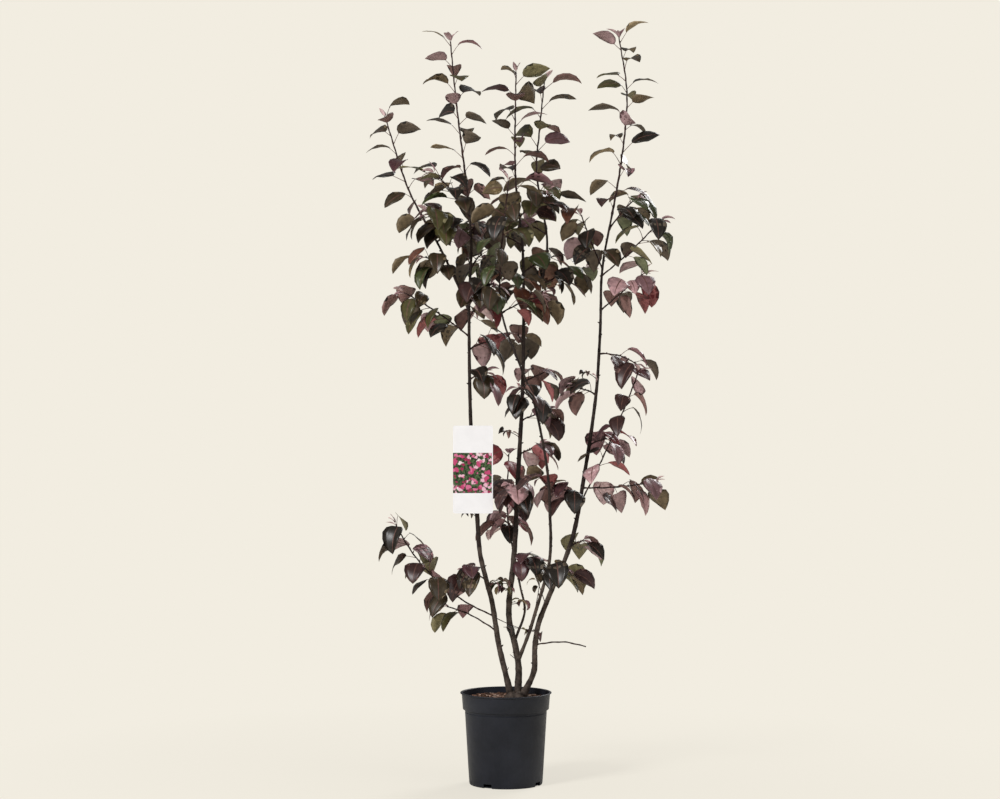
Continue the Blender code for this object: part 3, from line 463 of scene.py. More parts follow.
class Grown:
    # everything already grown, as small closed shapes, so that new growth keeps clear
    def __init__(self):
        # no shapes yet
        self.shapes, self.owners = [], []
        self.centres, self.reaches = np.empty((0, 3)), np.empty(0)

    def add(self, owner, points, faces):
        # one shape with its centre and its reach from there
        centre = points.mean(axis=0)
        self.shapes.append(treeOf(points, faces))
        self.centres = np.vstack([self.centres, centre])
        self.reaches = np.r_[self.reaches, np.linalg.norm(points - centre, axis=1).max()]
        self.owners.append(owner)

    def addTube(self, owner, points, radii):
        # a tube step by step, each one a little fatter than it is
        for k in range(len(points) - 1):
            fatter = np.array(radii[k:k + 2]) + growth["spare"]
            self.add(owner, *solidTube(points[k:k + 2], fatter, growth["roomSides"]))

    def hit(self, points, faces, own=None, onlyOwn=False):
        # whether a shape meets one whose centre is nearer than the two reaches together
        centre = points.mean(axis=0)
        reach = np.linalg.norm(points - centre, axis=1).max()
        near = np.where(np.linalg.norm(self.centres - centre, axis=1) < self.reaches + reach)[0]
        shape = treeOf(points, faces)
        return any((self.owners[i] == own) == onlyOwn and shape.overlap(self.shapes[i]) for i in near)


def ovate(along):
    # half the blade's width: a sine of the length to the power 0.72, from round base to long tip
    return np.sin(math.pi * np.clip(along, 0, 1) ** 0.72) ** 0.9


def bladePlace(one, along, across, lift=0.0):
    # an arc that bends from the start angle, with each half of the blade folded up from it
    start, bend = one["start"], one["bend"]
    angle = start + bend * along
    out = one["length"] * (np.sin(angle) - math.sin(start)) / bend
    up = one["length"] * (math.cos(start) - np.cos(angle)) / bend
    cosH, sinH = math.cos(one["heading"]), math.sin(one["heading"])
    centre = one["base"] + np.stack([out * cosH, out * sinH, up], axis=-1)
    over = np.stack([-np.sin(angle) * cosH, -np.sin(angle) * sinH, np.cos(angle)], axis=-1)
    level = np.array([-sinH, cosH, 0.0])
    roll = one["roll"]
    side = level * math.cos(roll) + over * math.sin(roll)
    face = over * math.cos(roll) - level * math.sin(roll)
    half = one["width"] / 2 * ovate(along)
    spread = (half * across * math.cos(one["fold"]))[..., None] * side
    raised = (half * abs(across) * math.sin(one["fold"]) + lift)[..., None] * face
    return centre + spread + raised


def smoothStep(low, high, x):
    # three times the share squared less twice its cube, held between none and one
    t = min(max((x - low) / (high - low), 0.0), 1.0)
    return t * t * (3 - 2 * t)


def tryLeaf(root, along, turn, size, share, dice):
    # where one leaf's stalk and blade go: held out near the top, hanging further down
    side = sideOf(along)
    other = np.cross(along, side)
    radial = side * math.cos(turn) + other * math.sin(turn)
    splay = math.radians(leaf["stalkAngle"] + dice.uniform(-12, 12))
    stalk = along * math.cos(splay) + radial * math.sin(splay)
    held = smoothStep(leaf["hangingBelow"], leaf["heldOutAbove"], root[2])
    stalk = unit(stalk + np.array([0.0, 0.0, 0.10 + 0.25 * held]))
    length = leaf["length"] * size * (leaf["shortBelow"] + (1.0 - leaf["shortBelow"]) * held)
    stalkLength = leaf["stalkShare"] * length * dice.uniform(0.75, 1.15)
    hanging, heldOut = leaf["hanging"], leaf["heldOut"]
    start = hanging["start"] + (heldOut["start"] + leaf["tipLift"] * smoothStep(0.82, 1.0, share)
                                - hanging["start"]) * held
    bend = hanging["bend"] + (heldOut["bend"] - hanging["bend"]) * held
    lift = math.degrees(math.asin(stalk[2]))
    broad = leaf["broadBelow"] + (leaf["narrowAbove"] - leaf["broadBelow"]) * held
    return {
        "root": root,
        "base": root + stalk * stalkLength,
        "heading": math.atan2(stalk[1], stalk[0]) + math.radians(dice.uniform(-26, 26)),
        "start": math.radians(max(start + dice.uniform(-16, 16), lift - 82.0)),
        "bend": math.radians(bend + dice.uniform(-18, 18)),
        "roll": math.radians(dice.normal(0.0, 24.0)),
        "fold": math.radians(leaf["fold"] + dice.uniform(-8, 12)),
        "length": length,
        "width": leaf["width"] * size * broad * dice.uniform(0.85, 1.18),
    }


def leafSolid(one, spare=0.0):
    # the source's 22-sided leaf, fatter by spare, to test for room
    thick, stalkRadius = leaf["solidThickness"] / 2 + spare, leaf["stalkRadius"] + spare
    stalk = unit(one["base"] - one["root"])
    low, high = leaf["corners"]
    margin = bladePlace(one, np.array([low, high, high, low]), np.array([1.0, 1.0, -1.0, -1.0]))
    tip = bladePlace(one, np.array([1.0]), np.array([0.0]))[0]
    middle = np.array([leaf["middle"]])
    upper = bladePlace(one, middle, np.array([0.0]), thick)[0]
    lower = bladePlace(one, middle, np.array([0.0]), -thick)[0]
    blade = unit((upper + lower) / 2 - one["base"])
    across = unit(margin[0] - margin[3])
    across = unit(across - stalk * (across @ stalk))
    below = np.cross(across, stalk)
    ring = np.array([across * 0.9 - below * 0.4, -across * 0.9 - below * 0.4, below]) * stalkRadius
    mitre = unit(stalk + blade)
    slide = -(ring @ mitre) / (stalk @ mitre)
    opened = one["base"] + ring + slide[:, None] * stalk
    root = ring * min(1.0, one["rootRadius"] / leaf["stalkRadius"])
    points = np.vstack([one["root"] + root, opened, margin[:2], tip, margin[2:], upper, lower])
    edge = (3, 6, 7, 8, 9, 10, 4)
    faces = [(0, 2, 1), (0, 4, 3), (0, 1, 4), (1, 5, 4), (1, 2, 5), (2, 3, 5), (2, 0, 3)]
    faces += [(b, a, 11) for a, b in zip(edge, edge[1:])] + [(3, 4, 11)]
    faces += [(a, b, 12) for a, b in zip(edge[1:-2], edge[2:-1])]
    faces += [(3, 6, 5), (6, 12, 5), (10, 4, 5), (12, 10, 5)]
    return points, faces


def crossesItself(points, faces):
    # whether two faces that share no corner meet
    tree = treeOf(points, faces)
    return any(not set(faces[i]) & set(faces[j]) for i, j in tree.overlap(tree))


def fits(one, grown, owner):
    # a leaf fits if it crosses neither itself, nor another shoot, nor its own twig beyond the foot
    if crossesItself(*leafSolid(one)) or grown.hit(*leafSolid(one, growth["spare"]), owner):
        return False
    beyond = dict(one, root=one["root"] + (one["base"] - one["root"]) * 0.35)
    return not grown.hit(*leafSolid(beyond, growth["spare"]), owner, True)


def growLeaves(name, shoot, grown, dice):
    # leaves spiral up the twig by the golden angle; one with no room is turned or left out
    line, count = shoot["line"], shoot["leaves"]
    if count == 0:
        return []
    lengths = lengthsOf(line)
    firstTurn = dice.uniform(0, 2 * math.pi)
    leaves = []
    for k in range(count):
        share = shoot["bare"] + (0.985 - shoot["bare"]) * (k + 0.5) / count
        for attempt in range(growth["tries"]):
            spot = np.clip(share + dice.uniform(-0.4, 0.4) / count, 0.02, 0.985) * lengths[-1]
            root, along, steps = placeOn(line, lengths, spot)
            turn = firstTurn + math.radians(growth["golden"]) * k + attempt * 0.9
            size = dice.uniform(0.84, 1.12)
            size *= 1.0 - 0.05 * (attempt // 4)
            one = tryLeaf(root, along, turn, size, share, dice)
            radius = np.interp(steps, np.arange(len(line)), shoot["radii"])
            one["rootRadius"] = growth["rootShare"] * radius
            if fits(one, grown, name):
                grown.add(name, *leafSolid(one, growth["spare"]))
                leaves.append(one)
                break
    return leaves


def growLimbs(grown):
    # stems on smooth routes, then boughs from the surface of the stem that each one leaves
    limbs = {}
    for name, stem in stems.items():
        line = smoothRoute(stem["route"], growth["stemStep"])
        limbs[name] = {"line": line, "radii": radiiAlong(line, stem["foot"], stem["end"], 0.85)}
    for name, bough in boughs.items():
        parent = limbs[bough["from"]]
        start, along, share = atHeight(parent["line"], bough["height"])
        radius = radiusAt(parent["radii"], share)
        whole = smoothRoute([start] + bough["route"], 0.004)
        line, _ = leaveLimb(whole, along, radius)
        line = withFoot(line, bough["foot"], growth["stemStep"])
        limbs[name] = {"line": line, "radii": radiiAlong(line, bough["foot"], bough["end"]),
                       "from": start}
    for name, limb in limbs.items():
        grown.addTube(name, limb["line"], limb["radii"])
    return limbs


def sideShoot(limb, plan, grown):
    # a twig by its plan, its heading nudged further round until it has room
    start, along, share = atHeight(limb["line"], plan["height"])
    radius = radiusAt(limb["radii"], share)
    for nudge in (0, 14, -14, 28, -28, 42, -42, 60, -60, 80, -80):
        whole = headingLine(start, plan["heading"] + nudge, plan["rises"], plan["length"])
        line, _ = leaveLimb(whole, along, radius)
        beyond = np.linalg.norm(line - line[0], axis=1) > growth["roomBeyond"]
        outer = evenly(line[beyond], growth["roomStep"])
        room = np.full(len(outer), growth["twigRoom"])
        if not grown.hit(*solidTube(outer, room, growth["roomSides"])):
            break
    line = withFoot(line, growth["sideFoot"], growth["twigStep"])
    return {"line": line, "radii": radiiAlong(line, growth["sideFoot"], growth["end"]), "from": start,
            "leaves": plan["leaves"], "bare": plan["bare"], "limb": plan["limb"]}


def tipShoot(limb, plan):
    # the leader that goes on from a limb's end, along its route
    line = limb["line"]
    along = unit(line[-1] - line[-2])
    start = line[-1] + along * gap
    line = smoothRoute([start, start + along * 0.03] + plan["route"], growth["twigStep"])
    foot = min(growth["tipFoot"], limb["radii"][-1])
    return {"line": line, "radii": radiiAlong(line, foot, growth["end"]),
            "from": start - along * growth["sunk"], "leaves": plan["leaves"],
            "bare": growth["tipBare"], "limb": plan["limb"]}


def spurPlans():
    # even steps of height and length, each heading turned on from the last
    plans = {}
    for name, spur in spurs.items():
        for k in range(spur["count"]):
            share = k / max(1, spur["count"] - 1)
            low, high = spur["heights"]
            short, long = spur["lengths"]
            plans[f"{name}_{k + 1}"] = {
                "limb": spur["limb"], "height": low + (high - low) * share,
                "heading": spur["heading"] + spur.get("turn", growth["golden"]) * k,
                "rises": spur.get("rises", growth["spurRises"]),
                "length": short + (long - short) * share, "leaves": spur["leaves"],
                "bare": growth["spurBare"]}
    return plans


def growShoots(limbs, grown):
    # all twigs first, then the leaves of each with dice of its own
    shoots = {}
    for name, plan in tipShoots.items():
        shoots[name] = tipShoot(limbs[plan["limb"]], plan)
        grown.addTube(name, shoots[name]["line"], shoots[name]["radii"])
    for name, plan in {**sideShoots, **spurPlans()}.items():
        shoots[name] = sideShoot(limbs[plan["limb"]], plan, grown)
        grown.addTube(name, shoots[name]["line"], shoots[name]["radii"])
    for k, (name, shoot) in enumerate(shoots.items()):
        shoot["grown"] = growLeaves(name, shoot, grown, np.random.default_rng(growth["seed"] + k))
    return shoots


def cardPlace(limb):
    # the card hangs just before the left stem, where its strap loops round it
    centre, _, share = atHeight(limb["line"], card["top"] - card["strapWidth"])
    radius = radiusAt(limb["radii"], share)
    return centre, radius


def cardRoom(centre):
    # the card as a box, a little larger all round, for the leaves to keep clear of
    half = np.array([card["width"], card["thickness"], card["height"]]) / 2
    middle = np.array([centre[0] + card["shift"], centre[1] - card["forward"],
                       card["top"] - card["height"] / 2])
    return middle + boxSigns * (half + 2 * growth["spare"]), boxFaces


grown = Grown()
limbs = growLimbs(grown)
cardCentre, cardStemRadius = cardPlace(limbs["stem_left"])
grown.add("label", *cardRoom(cardCentre))
shoots = growShoots(limbs, grown)
print("grown:", len(limbs), "limbs,", len(shoots), "shoots,",
      sum(len(shoot["grown"]) for shoot in shoots.values()), "leaves")


# Bark.

barkRelief = {"step": 0.006, "sides": 14, "lump": 0.045, "ring": 0.10, "ringEvery": 0.036,
              "ringWidth": 0.0035,
              "oldBelow": 0.62, "stemFlare": 0.0022, "boughFlare": 0.0012, "seed": 77}


def barkTube(points, radii, sides, dice, every=barkRelief["ringEvery"], ring=barkRelief["ring"]):
    # a tube whose radius swells in soft lumps, and in a thin ring at each node up the stem
    lengths = lengthsOf(points)
    turns = np.arange(sides) * 2 * math.pi / sides
    phases = dice.uniform(0, 2 * math.pi, 6)
    waves = [(3, 41.0), (2, 97.0), (5, 173.0)]
    swell = np.ones((len(points), sides))
    for (around, up), p, q in zip(waves, phases[:3], phases[3:]):
        wave = np.sin(around * turns[None, :] + p) * np.sin(up * lengths[:, None] + q)
        swell += barkRelief["lump"] * wave
    nearest = np.abs((lengths + phases[0] * 0.004) % every - every / 2)
    swell += ring * np.exp(-(nearest / barkRelief["ringWidth"]) ** 2)[:, None]
    rings = ringsAlong(points, radii, sides).reshape(len(points), sides, 3)
    centre = np.asarray(points)[:, None, :]
    skin = centre + (rings - centre) * swell[..., None]
    return skin.reshape(-1, 3), tubeFaces(len(points), sides)


def dressLimb(name, limb, start, foot, pieceName, dice):
    # the limb's own line, carried down into what it grows from, with a flared foot
    line = smoothRoute([start] + limb["line"][1:].tolist(), barkRelief["step"])
    radii = radiusAt(limb["radii"], np.linspace(0, 1, len(line)))
    radii = radii + foot * np.exp(-(lengthsOf(line) / (foot * 9 + 0.004)) ** 2)
    bark = barkTube(line, radii, barkRelief["sides"], dice)
    points, faces = joined([bark] + knobMeshes(limb, dice))
    heights = np.array([points[list(f)].mean(axis=0)[2] for f in faces])
    slots = np.where(heights < barkRelief["oldBelow"], 0, 1)
    addPiece(pieceName, points, faces, woodFinish, slots, [name])


knobs = {"every": 0.040, "length": (0.0015, 0.0055), "radius": 0.0019, "lowest": 0.30, "sides": 6,
         "lean": 0.7, "swell": (1.25, 1.0, 0.35)}


def knobMeshes(limb, dice):
    # buds and short snags up the limb: small cones turned on by the golden angle
    line, radii, made = limb["line"], limb["radii"], []
    lengths = lengthsOf(line)
    for k, spot in enumerate(np.arange(0.05, lengths[-1] - 0.01, knobs["every"])):
        root, along, steps = placeOn(line, lengths, spot + dice.uniform(-0.012, 0.012))
        radius = np.interp(steps, np.arange(len(line)), radii)
        side = sideOf(along)
        turn = math.radians(growth["golden"]) * k + dice.uniform(-0.4, 0.4)
        out = side * math.cos(turn) + np.cross(along, side) * math.sin(turn)
        if root[2] < knobs["lowest"]:
            continue
        length = dice.uniform(*knobs["length"])
        tip = root + out * (radius + length) + along * length * knobs["lean"]
        start = root + out * radius * 0.5
        thick = knobs["radius"] * dice.uniform(0.8, 1.2)
        places = [start, start + (tip - start) * 0.6, tip]
        made.append(solidTube(places, thick * np.array(knobs["swell"]), knobs["sides"]))
    return made


dice = np.random.default_rng(barkRelief["seed"])
woodFinish = [barkFinish["old"], barkFinish["young"]]
stemPieces = {"stem_left": "leftStem", "stem_centre": "centreStem", "stem_right": "rightStem"}
for name, pieceName in stemPieces.items():
    first = limbs[name]["line"][0] - np.array([0.0, 0.0, 0.006])
    dressLimb(name, limbs[name], first, barkRelief["stemFlare"], pieceName, dice)
boughPieces = {"bough_front": "frontBough", "bough_back": "backBough", "bough_fork": "forkBough",
               "bough_left": "leftBough"}
for name, pieceName in boughPieces.items():
    dressLimb(name, limbs[name], limbs[name]["from"], barkRelief["boughFlare"], pieceName, dice)
print("bark on", len(limbs), "limbs")

stool = {"centre": (0.029, 0.002), "stretch": (1.16, 0.92), "sides": 48, "rim": 0.0012,
         "folds": [(0.07, 5, 0.8), (0.05, 9, 2.0), (0.03, 17, 0.0)],
         "profile": [(0.0330, -0.004), (0.0300, 0.001), (0.0262, 0.005), (0.0235, 0.010),
                     (0.0215, 0.0145), (0.0180, 0.0175), (0.009, 0.0185)]}


def stoolSurface():
    # a lathe profile stretched to an oval, with folds that run down to the soil
    profile = np.array(stool["profile"])
    turns = np.linspace(0, 2 * math.pi, stool["sides"], endpoint=False)
    ridge = 1 + sum(size * np.sin(waves * turns + phase) for size, waves, phase in stool["folds"])
    fade = np.linspace(1.0, 0.15, len(profile))[:, None]
    radius = profile[:, :1] * (1 + (ridge[None, :] - 1) * fade)
    x = radius * np.cos(turns) * stool["stretch"][0] + stool["centre"][0]
    y = radius * np.sin(turns) * stool["stretch"][1] + stool["centre"][1]
    z = np.repeat(profile[:, 1:] + soilTop + gap, stool["sides"], axis=1)
    z = z + stool["rim"] * np.sin(7 * turns + 1.0)[None, :] * (1 - fade)
    return np.stack([x, y, z], axis=-1).reshape(-1, 3), tubeFaces(len(profile), stool["sides"])


points, faces = stoolSurface()
addPiece("stoolWood", points, faces, [barkFinish["old"]], np.zeros(len(faces)), ["stool"])


# Leaves and twigs.

fineLeaf = {
    "rows": (0.002, 0.06, 0.17, 0.33, 0.52, 0.72, 0.88, 0.997),
    "topColumns": (-1.0, -0.55, -0.05, 0.05, 0.55, 1.0), "underColumns": (0.5, 0.0, -0.5),
    "thickness": 0.0004, "wave": 0.06, "waves": 1.6, "fullness": (0.74, 1.0), "twist": 0.36,
    "rollOver": (-0.06, 0.30),
    "broad": 1.03, "stalkSides": 4, "stalkRings": 5, "stalkRadius": (0.0011, 0.0007),
    "young": 3, "youngSize": (0.28, 0.5),
}
toneByHeight = [   # above each height, how often each tone is dealt
    (1.60, {"bronze": 24, "olive": 12, "brownPurple": 18, "dark": 24, "khaki": 5, "purple": 9,
            "mauve": 9}),
    (1.34, {"dark": 34, "bronze": 24, "olive": 16, "green": 8, "brownPurple": 5, "khaki": 8, "rust": 4,
            "mauve": 2}),
    (1.12, {"dark": 22, "bronze": 16, "brownPurple": 14, "red": 11, "rust": 9, "mauve": 9, "olive": 10,
            "pink": 5, "green": 5}),
    (0.68, {"brownPurple": 30, "dark": 18, "purple": 17, "mauve": 12, "red": 9, "bronze": 6, "pink": 5,
            "rust": 4}),
    (0.00, {"brownPurple": 20, "dark": 20, "bronze": 20, "purple": 8, "olive": 14, "mauve": 7, "green": 8,
            "khaki": 4}),
]


def tonesFor(height, count, dice):
    # one tone for each leaf, drawn by the shares of the height it grows at
    for lowest, shares in toneByHeight:
        if height >= lowest:
            odds = np.array(list(shares.values())) / sum(shares.values())
            return [toneNames.index(list(shares)[i]) for i in dice.choice(len(shares), count, p=odds)]


def bladeArrays(leaves, dice):
    # all blades at once: the arc and fold of the rule, on rows along and columns across, rounder
    # in outline, twisted along its length, with waved and rolled margins where the faces meet
    rows = np.array(fineLeaf["rows"])
    across = np.array(fineLeaf["topColumns"] + fineLeaf["underColumns"])
    topCount = len(fineLeaf["topColumns"])
    grab = {key: np.array([one[key] for one in leaves])[:, None, None]
            for key in ("start", "bend", "length", "heading", "roll", "fold", "width")}
    base = np.array([one["base"] for one in leaves])[:, None, None, :]
    s, t = rows[None, :, None], across[None, None, :]
    angle = grab["start"] + grab["bend"] * s
    out = grab["length"] * (np.sin(angle) - np.sin(grab["start"])) / grab["bend"]
    up = grab["length"] * (np.cos(grab["start"]) - np.cos(angle)) / grab["bend"]
    cosH, sinH = np.cos(grab["heading"]), np.sin(grab["heading"])
    centre = base + np.stack(np.broadcast_arrays(out * cosH, out * sinH, up), axis=-1)
    over = np.broadcast_arrays(-np.sin(angle) * cosH, -np.sin(angle) * sinH, np.cos(angle))
    over = np.stack(over, axis=-1)
    level = np.stack(np.broadcast_arrays(-sinH, cosH, np.zeros_like(angle)), axis=-1)
    count = (len(leaves), 1, 1)
    roll = grab["roll"] + dice.normal(0.0, fineLeaf["twist"], count) * s
    cosR, sinR = np.cos(roll)[..., None], np.sin(roll)[..., None]
    side = level * cosR + over * sinR
    face = over * cosR - level * sinR
    full = dice.uniform(*fineLeaf["fullness"], count)
    half = grab["width"] / 2 * fineLeaf["broad"] * np.sin(math.pi * s**0.74) ** full
    phase = dice.uniform(0, 2 * math.pi, count)
    ripple = np.sin(2 * math.pi * fineLeaf["waves"] * s + phase + 1.7 * np.sign(t))
    wave = fineLeaf["wave"] * half * t**2 * ripple
    inner = (np.abs(t) < 0.99) * fineLeaf["thickness"] / 2
    skin = np.where(np.arange(len(across)) < topCount, 1.0, -1.0)[None, None, :] * inner
    rollOver = dice.uniform(*fineLeaf["rollOver"], count)
    raised = half * (np.sqrt(t**2 + 0.002) * np.sin(grab["fold"]) - rollOver * t**2) + wave + skin
    spread = half * t * np.cos(grab["fold"])
    return centre + spread[..., None] * side + raised[..., None] * face


def bladeMesh(leaves, tones, dice):
    # quads round each row of each blade, the middle strip as the rib, and a cap at both ends
    grid = bladeArrays(leaves, dice)
    count, rows, ring = grid.shape[:3]
    points = grid.reshape(-1, 3)
    r, c = np.meshgrid(np.arange(rows - 1), np.arange(ring), indexing="ij")
    a, b = r * ring + c, r * ring + (c + 1) % ring
    quads = np.stack([a, b, b + ring, a + ring], axis=-1).reshape(-1, 4)
    faces = (quads[None] + (np.arange(count) * rows * ring)[:, None, None]).reshape(-1, 4).tolist()
    caps = np.arange(ring)
    for k in range(count):
        first = k * rows * ring
        faces.append((caps[::-1] + first).tolist())
        faces.append((caps + first + (rows - 1) * ring).tolist())
    topCount = len(fineLeaf["topColumns"])
    column = np.tile(c.reshape(-1), count)
    tone = np.repeat(np.asarray(tones), (rows - 1) * ring)
    rib = 2 * len(toneNames)
    slot = np.where(column < topCount - 1, 2 * tone, 2 * tone + 1)
    slot = np.where(column == topCount // 2 - 1, rib, slot)
    capSlots = np.repeat(2 * np.asarray(tones), 2)
    return points, faces, np.concatenate([slot, capSlots])


def stalkMesh(leaves):
    # each stalk a thin curved tube, from the twig's core to just inside the blade
    made = []
    share = np.linspace(0, 1, fineLeaf["stalkRings"])[:, None]
    thick, thin = fineLeaf["stalkRadius"]
    for one in leaves:
        into = bladePlace(one, np.array([0.06]), np.array([0.0]))[0]
        reach = np.linalg.norm(one["base"] - one["root"])
        bendAt = one["root"] + unit(one["base"] - one["root"]) * reach * 0.8
        line = (1 - share) ** 2 * one["root"] + 2 * share * (1 - share) * bendAt + share**2 * into
        sag = one["base"] - (one["root"] * 0.04 + bendAt * 0.32 + into * 0.64)
        line = line + sag * (4 * share * (1 - share)) * 0.3
        scale = one["length"] / leaf["length"]
        radii = (thick + (thin - thick) * share[:, 0] ** 0.4) * scale
        made.append(solidTube(line, radii, fineLeaf["stalkSides"]))
    return joined(made)


def youngLeaves(shoot, dice):
    # small leaves that unfold round the twig's end
    line = shoot["line"]
    along = unit(line[-1] - line[-2])
    side = sideOf(along)
    other = np.cross(along, side)
    made = []
    for k in range(fineLeaf["young"]):
        turn = math.radians(growth["golden"]) * k + dice.uniform(0, 6.28)
        splay = math.radians(dice.uniform(14, 40))
        radial = side * math.cos(turn) + other * math.sin(turn)
        stalk = unit(along * math.cos(splay) + radial * math.sin(splay))
        size = dice.uniform(*fineLeaf["youngSize"])
        root = line[-1] - along * dice.uniform(0.0005, 0.006)
        made.append({
            "root": root, "base": root + stalk * leaf["length"] * size * 0.2,
            "heading": math.atan2(stalk[1], stalk[0]),
            "start": math.asin(stalk[2]) - 0.1, "bend": math.radians(dice.uniform(-50, -20)),
            "roll": math.radians(dice.normal(0, 20)), "fold": math.radians(dice.uniform(22, 42)),
            "length": leaf["length"] * size, "width": leaf["width"] * size * 0.8})
    return made


budSize = {"length": 0.0065, "radius": 0.0017, "rings": (0.0, 0.25, 0.6, 1.0),
           "fullness": (0.6, 1.0, 0.75, 0.05), "sides": 5}


def budMeshes(shoot):
    # a pointed bud in the fork of each leaf stalk: four rings that swell and close
    made = []
    for one in shoot["grown"]:
        stalk = unit(one["base"] - one["root"])
        up = unit(stalk + np.array([0.0, 0.0, 1.2]))
        line = one["root"] + up * np.array(budSize["rings"])[:, None] * budSize["length"]
        radii = np.array(budSize["fullness"]) * budSize["radius"]
        made.append(solidTube(line, radii, budSize["sides"]))
    return made


fineTwig = {"step": 0.0055, "sides": 7, "fuller": 0.0003, "flare": 0.0009, "flareReach": 0.008,
            "nodeEvery": 0.019, "node": 0.24, "kink": 0.0007}


def zigzag(line, dice):
    # the twig turns a little at every node: a sideways triangle wave that is nothing at its foot
    lengths = lengthsOf(line)
    along = unit(line[-1] - line[0])
    side = unit(np.cross(along, [0.6, -0.7, 0.2]))
    wave = np.abs((lengths / fineTwig["nodeEvery"] + dice.uniform(0, 1)) % 2 - 1) - 0.5
    fade = np.minimum(1.0, lengths / 0.03)
    return line + (wave * fade * 2 * fineTwig["kink"])[:, None] * side


sprigs = [   # thin low twigs: limb, height, heading, first and last rise, length, curled leaves
    ("stem_left", 0.437, -25, -24, -6, 0.140, 3),
    ("stem_left", 0.289, 0, 62, 62, 0.018, 0),
    ("stem_left", 0.520, 30, 30, 10, 0.045, 3),
    ("stem_centre", 0.520, 205, 12, -8, 0.050, 5),
    ("stem_centre", 0.468, -12, 4, 22, 0.034, 5),
    ("stem_centre", 0.500, 250, 20, 0, 0.040, 4),
    ("stem_centre", 0.318, 205, 46, 36, 0.030, 0),
    ("stem_right", 0.400, 176, 12, 2, 0.090, 2),
    ("stem_right", 0.470, 190, 72, 64, 0.130, 4),
    ("bough_front", 0.430, 60, 66, 74, 0.140, 4),
    ("stem_left", 0.700, 150, 30, 10, 0.040, 3),
    ("stem_centre", 0.905, 190, 40, 10, 0.045, 4),
    ("stem_right", 1.060, 200, 40, 20, 0.040, 4),
    ("bough_fork", 1.290, -20, 30, 10, 0.050, 4),
    ("stem_centre", 1.235, 60, 44, 30, 0.060, 4),
]
sprigSize = {"foot": 0.0011, "end": 0.0006, "leaf": (0.26, 0.46), "first": 0.35}


def growSprig(limb, height, heading, firstRise, lastRise, length, count, dice):
    # a twig from the limb's core with small leaves at even shares, each folded and curled
    start, _, _ = atHeight(limbs[limb]["line"], height)
    line = headingLine(start, heading, (firstRise, lastRise), length)
    made = []
    for k in range(count):
        share = sprigSize["first"] + (1 - sprigSize["first"]) * (k + 1) / count
        spot = share * (len(line) - 1)
        i = int(min(spot, len(line) - 2))
        root = line[i] + (line[i + 1] - line[i]) * (spot - i)
        size = dice.uniform(*sprigSize["leaf"])
        turn = math.radians(heading + growth["golden"] * k + dice.uniform(-30, 30))
        stalk = unit(np.array([math.cos(turn), math.sin(turn), dice.uniform(-0.2, 0.9)]))
        made.append({
            "root": root, "base": root + stalk * leaf["length"] * size * 0.25, "heading": turn,
            "start": math.asin(stalk[2]) * 0.7, "bend": math.radians(dice.uniform(-150, -70)),
            "roll": math.radians(dice.normal(0, 30)), "fold": math.radians(dice.uniform(14, 44)),
            "length": leaf["length"] * size, "width": leaf["width"] * size})
    return smoothRoute(line, fineTwig["step"]), made


groups = {   # what carries the leaves: the name that its pieces take
    "stem_left": "LeftStem", "stem_centre": "CentreStem", "stem_right": "RightStem",
    "bough_front": "FrontBough", "bough_back": "BackBough", "bough_fork": "ForkBough",
    "bough_left": "LeftBough"}
leafMaterials = [m for name in toneNames for m in leafFinish[name]] + [ribFinish, stalkFinish]
foliage = {"seed": 2113, "pinkShare": 0.45}


def twigTube(line, radii, dice):
    # a fine bark tube whose nodes stand close together
    return barkTube(line, radii, fineTwig["sides"], dice, fineTwig["nodeEvery"], fineTwig["node"])


def dressShoots(limbName, label, dice):
    # a limb's twigs, blades and stalks, each kind joined into one piece
    own = {name: shoot for name, shoot in shoots.items() if shoot["limb"] == limbName}
    leaves, tones, twigs = [], [], []
    for shoot in own.values():
        if shoot["grown"]:
            height = float(np.mean([one["base"][2] for one in shoot["grown"]]))
            leaves += shoot["grown"]
            tones += tonesFor(height, len(shoot["grown"]), dice)
            young = youngLeaves(shoot, dice)
            leaves += young
            tones += [toneNames.index("pink" if dice.random() < foliage["pinkShare"] else "mauve")
                      for _ in young]
        places = np.vstack([shoot["from"], shoot["line"][1:]])
        line = zigzag(smoothRoute(places, fineTwig["step"]), dice)
        radii = radiusAt(shoot["radii"], np.linspace(0, 1, len(line)))
        flare = fineTwig["flare"] * np.exp(-(lengthsOf(line) / fineTwig["flareReach"]) ** 2)
        twigs.append(twigTube(line, radii + fineTwig["fuller"] + flare, dice))
        twigs += budMeshes(shoot)
    for limb, height, *plan in sprigs:
        if limb == limbName:
            line, made = growSprig(limb, height, *plan, dice)
            leaves += made
            tones += tonesFor(height, len(made), dice)
            radii = radiiAlong(line, sprigSize["foot"], sprigSize["end"])
            twigs.append(twigTube(line, radii, dice))
    points, faces = joined(twigs)
    addPiece(f"twigsOn{label}", points, faces, [barkFinish["twig"]], np.zeros(len(faces)),
             own)
    points, faces, slots = bladeMesh(leaves, tones, dice)
    addPiece(f"leavesOn{label}", points, faces, leafMaterials, slots, own)
    points, faces = stalkMesh(leaves)
    addPiece(f"stalksOn{label}", points, faces, [stalkFinish], np.zeros(len(faces)), own)
    print("dressed", label, "with", len(leaves), "leaves")


dice = np.random.default_rng(foliage["seed"])
for limbName, label in groups.items():
    dressShoots(limbName, label, dice)


# Pot and soil.

pot = {"height": 0.240, "lip": 0.120, "bandTop": 0.1160, "bandFoot": 0.1128, "bandFootHeight": 0.196,
       "bodyTop": 0.1080, "foot": 0.0960, "wall": 0.0022, "lipRoll": 0.0015, "sides": 128,
       "notches": 4, "firstNotch": -30.0, "notchDepth": 0.016, "notchWidth": 0.024,
       "notchHeight": 0.011, "roughness": (0.34, 0.58), "creaseAngle": 32.0}


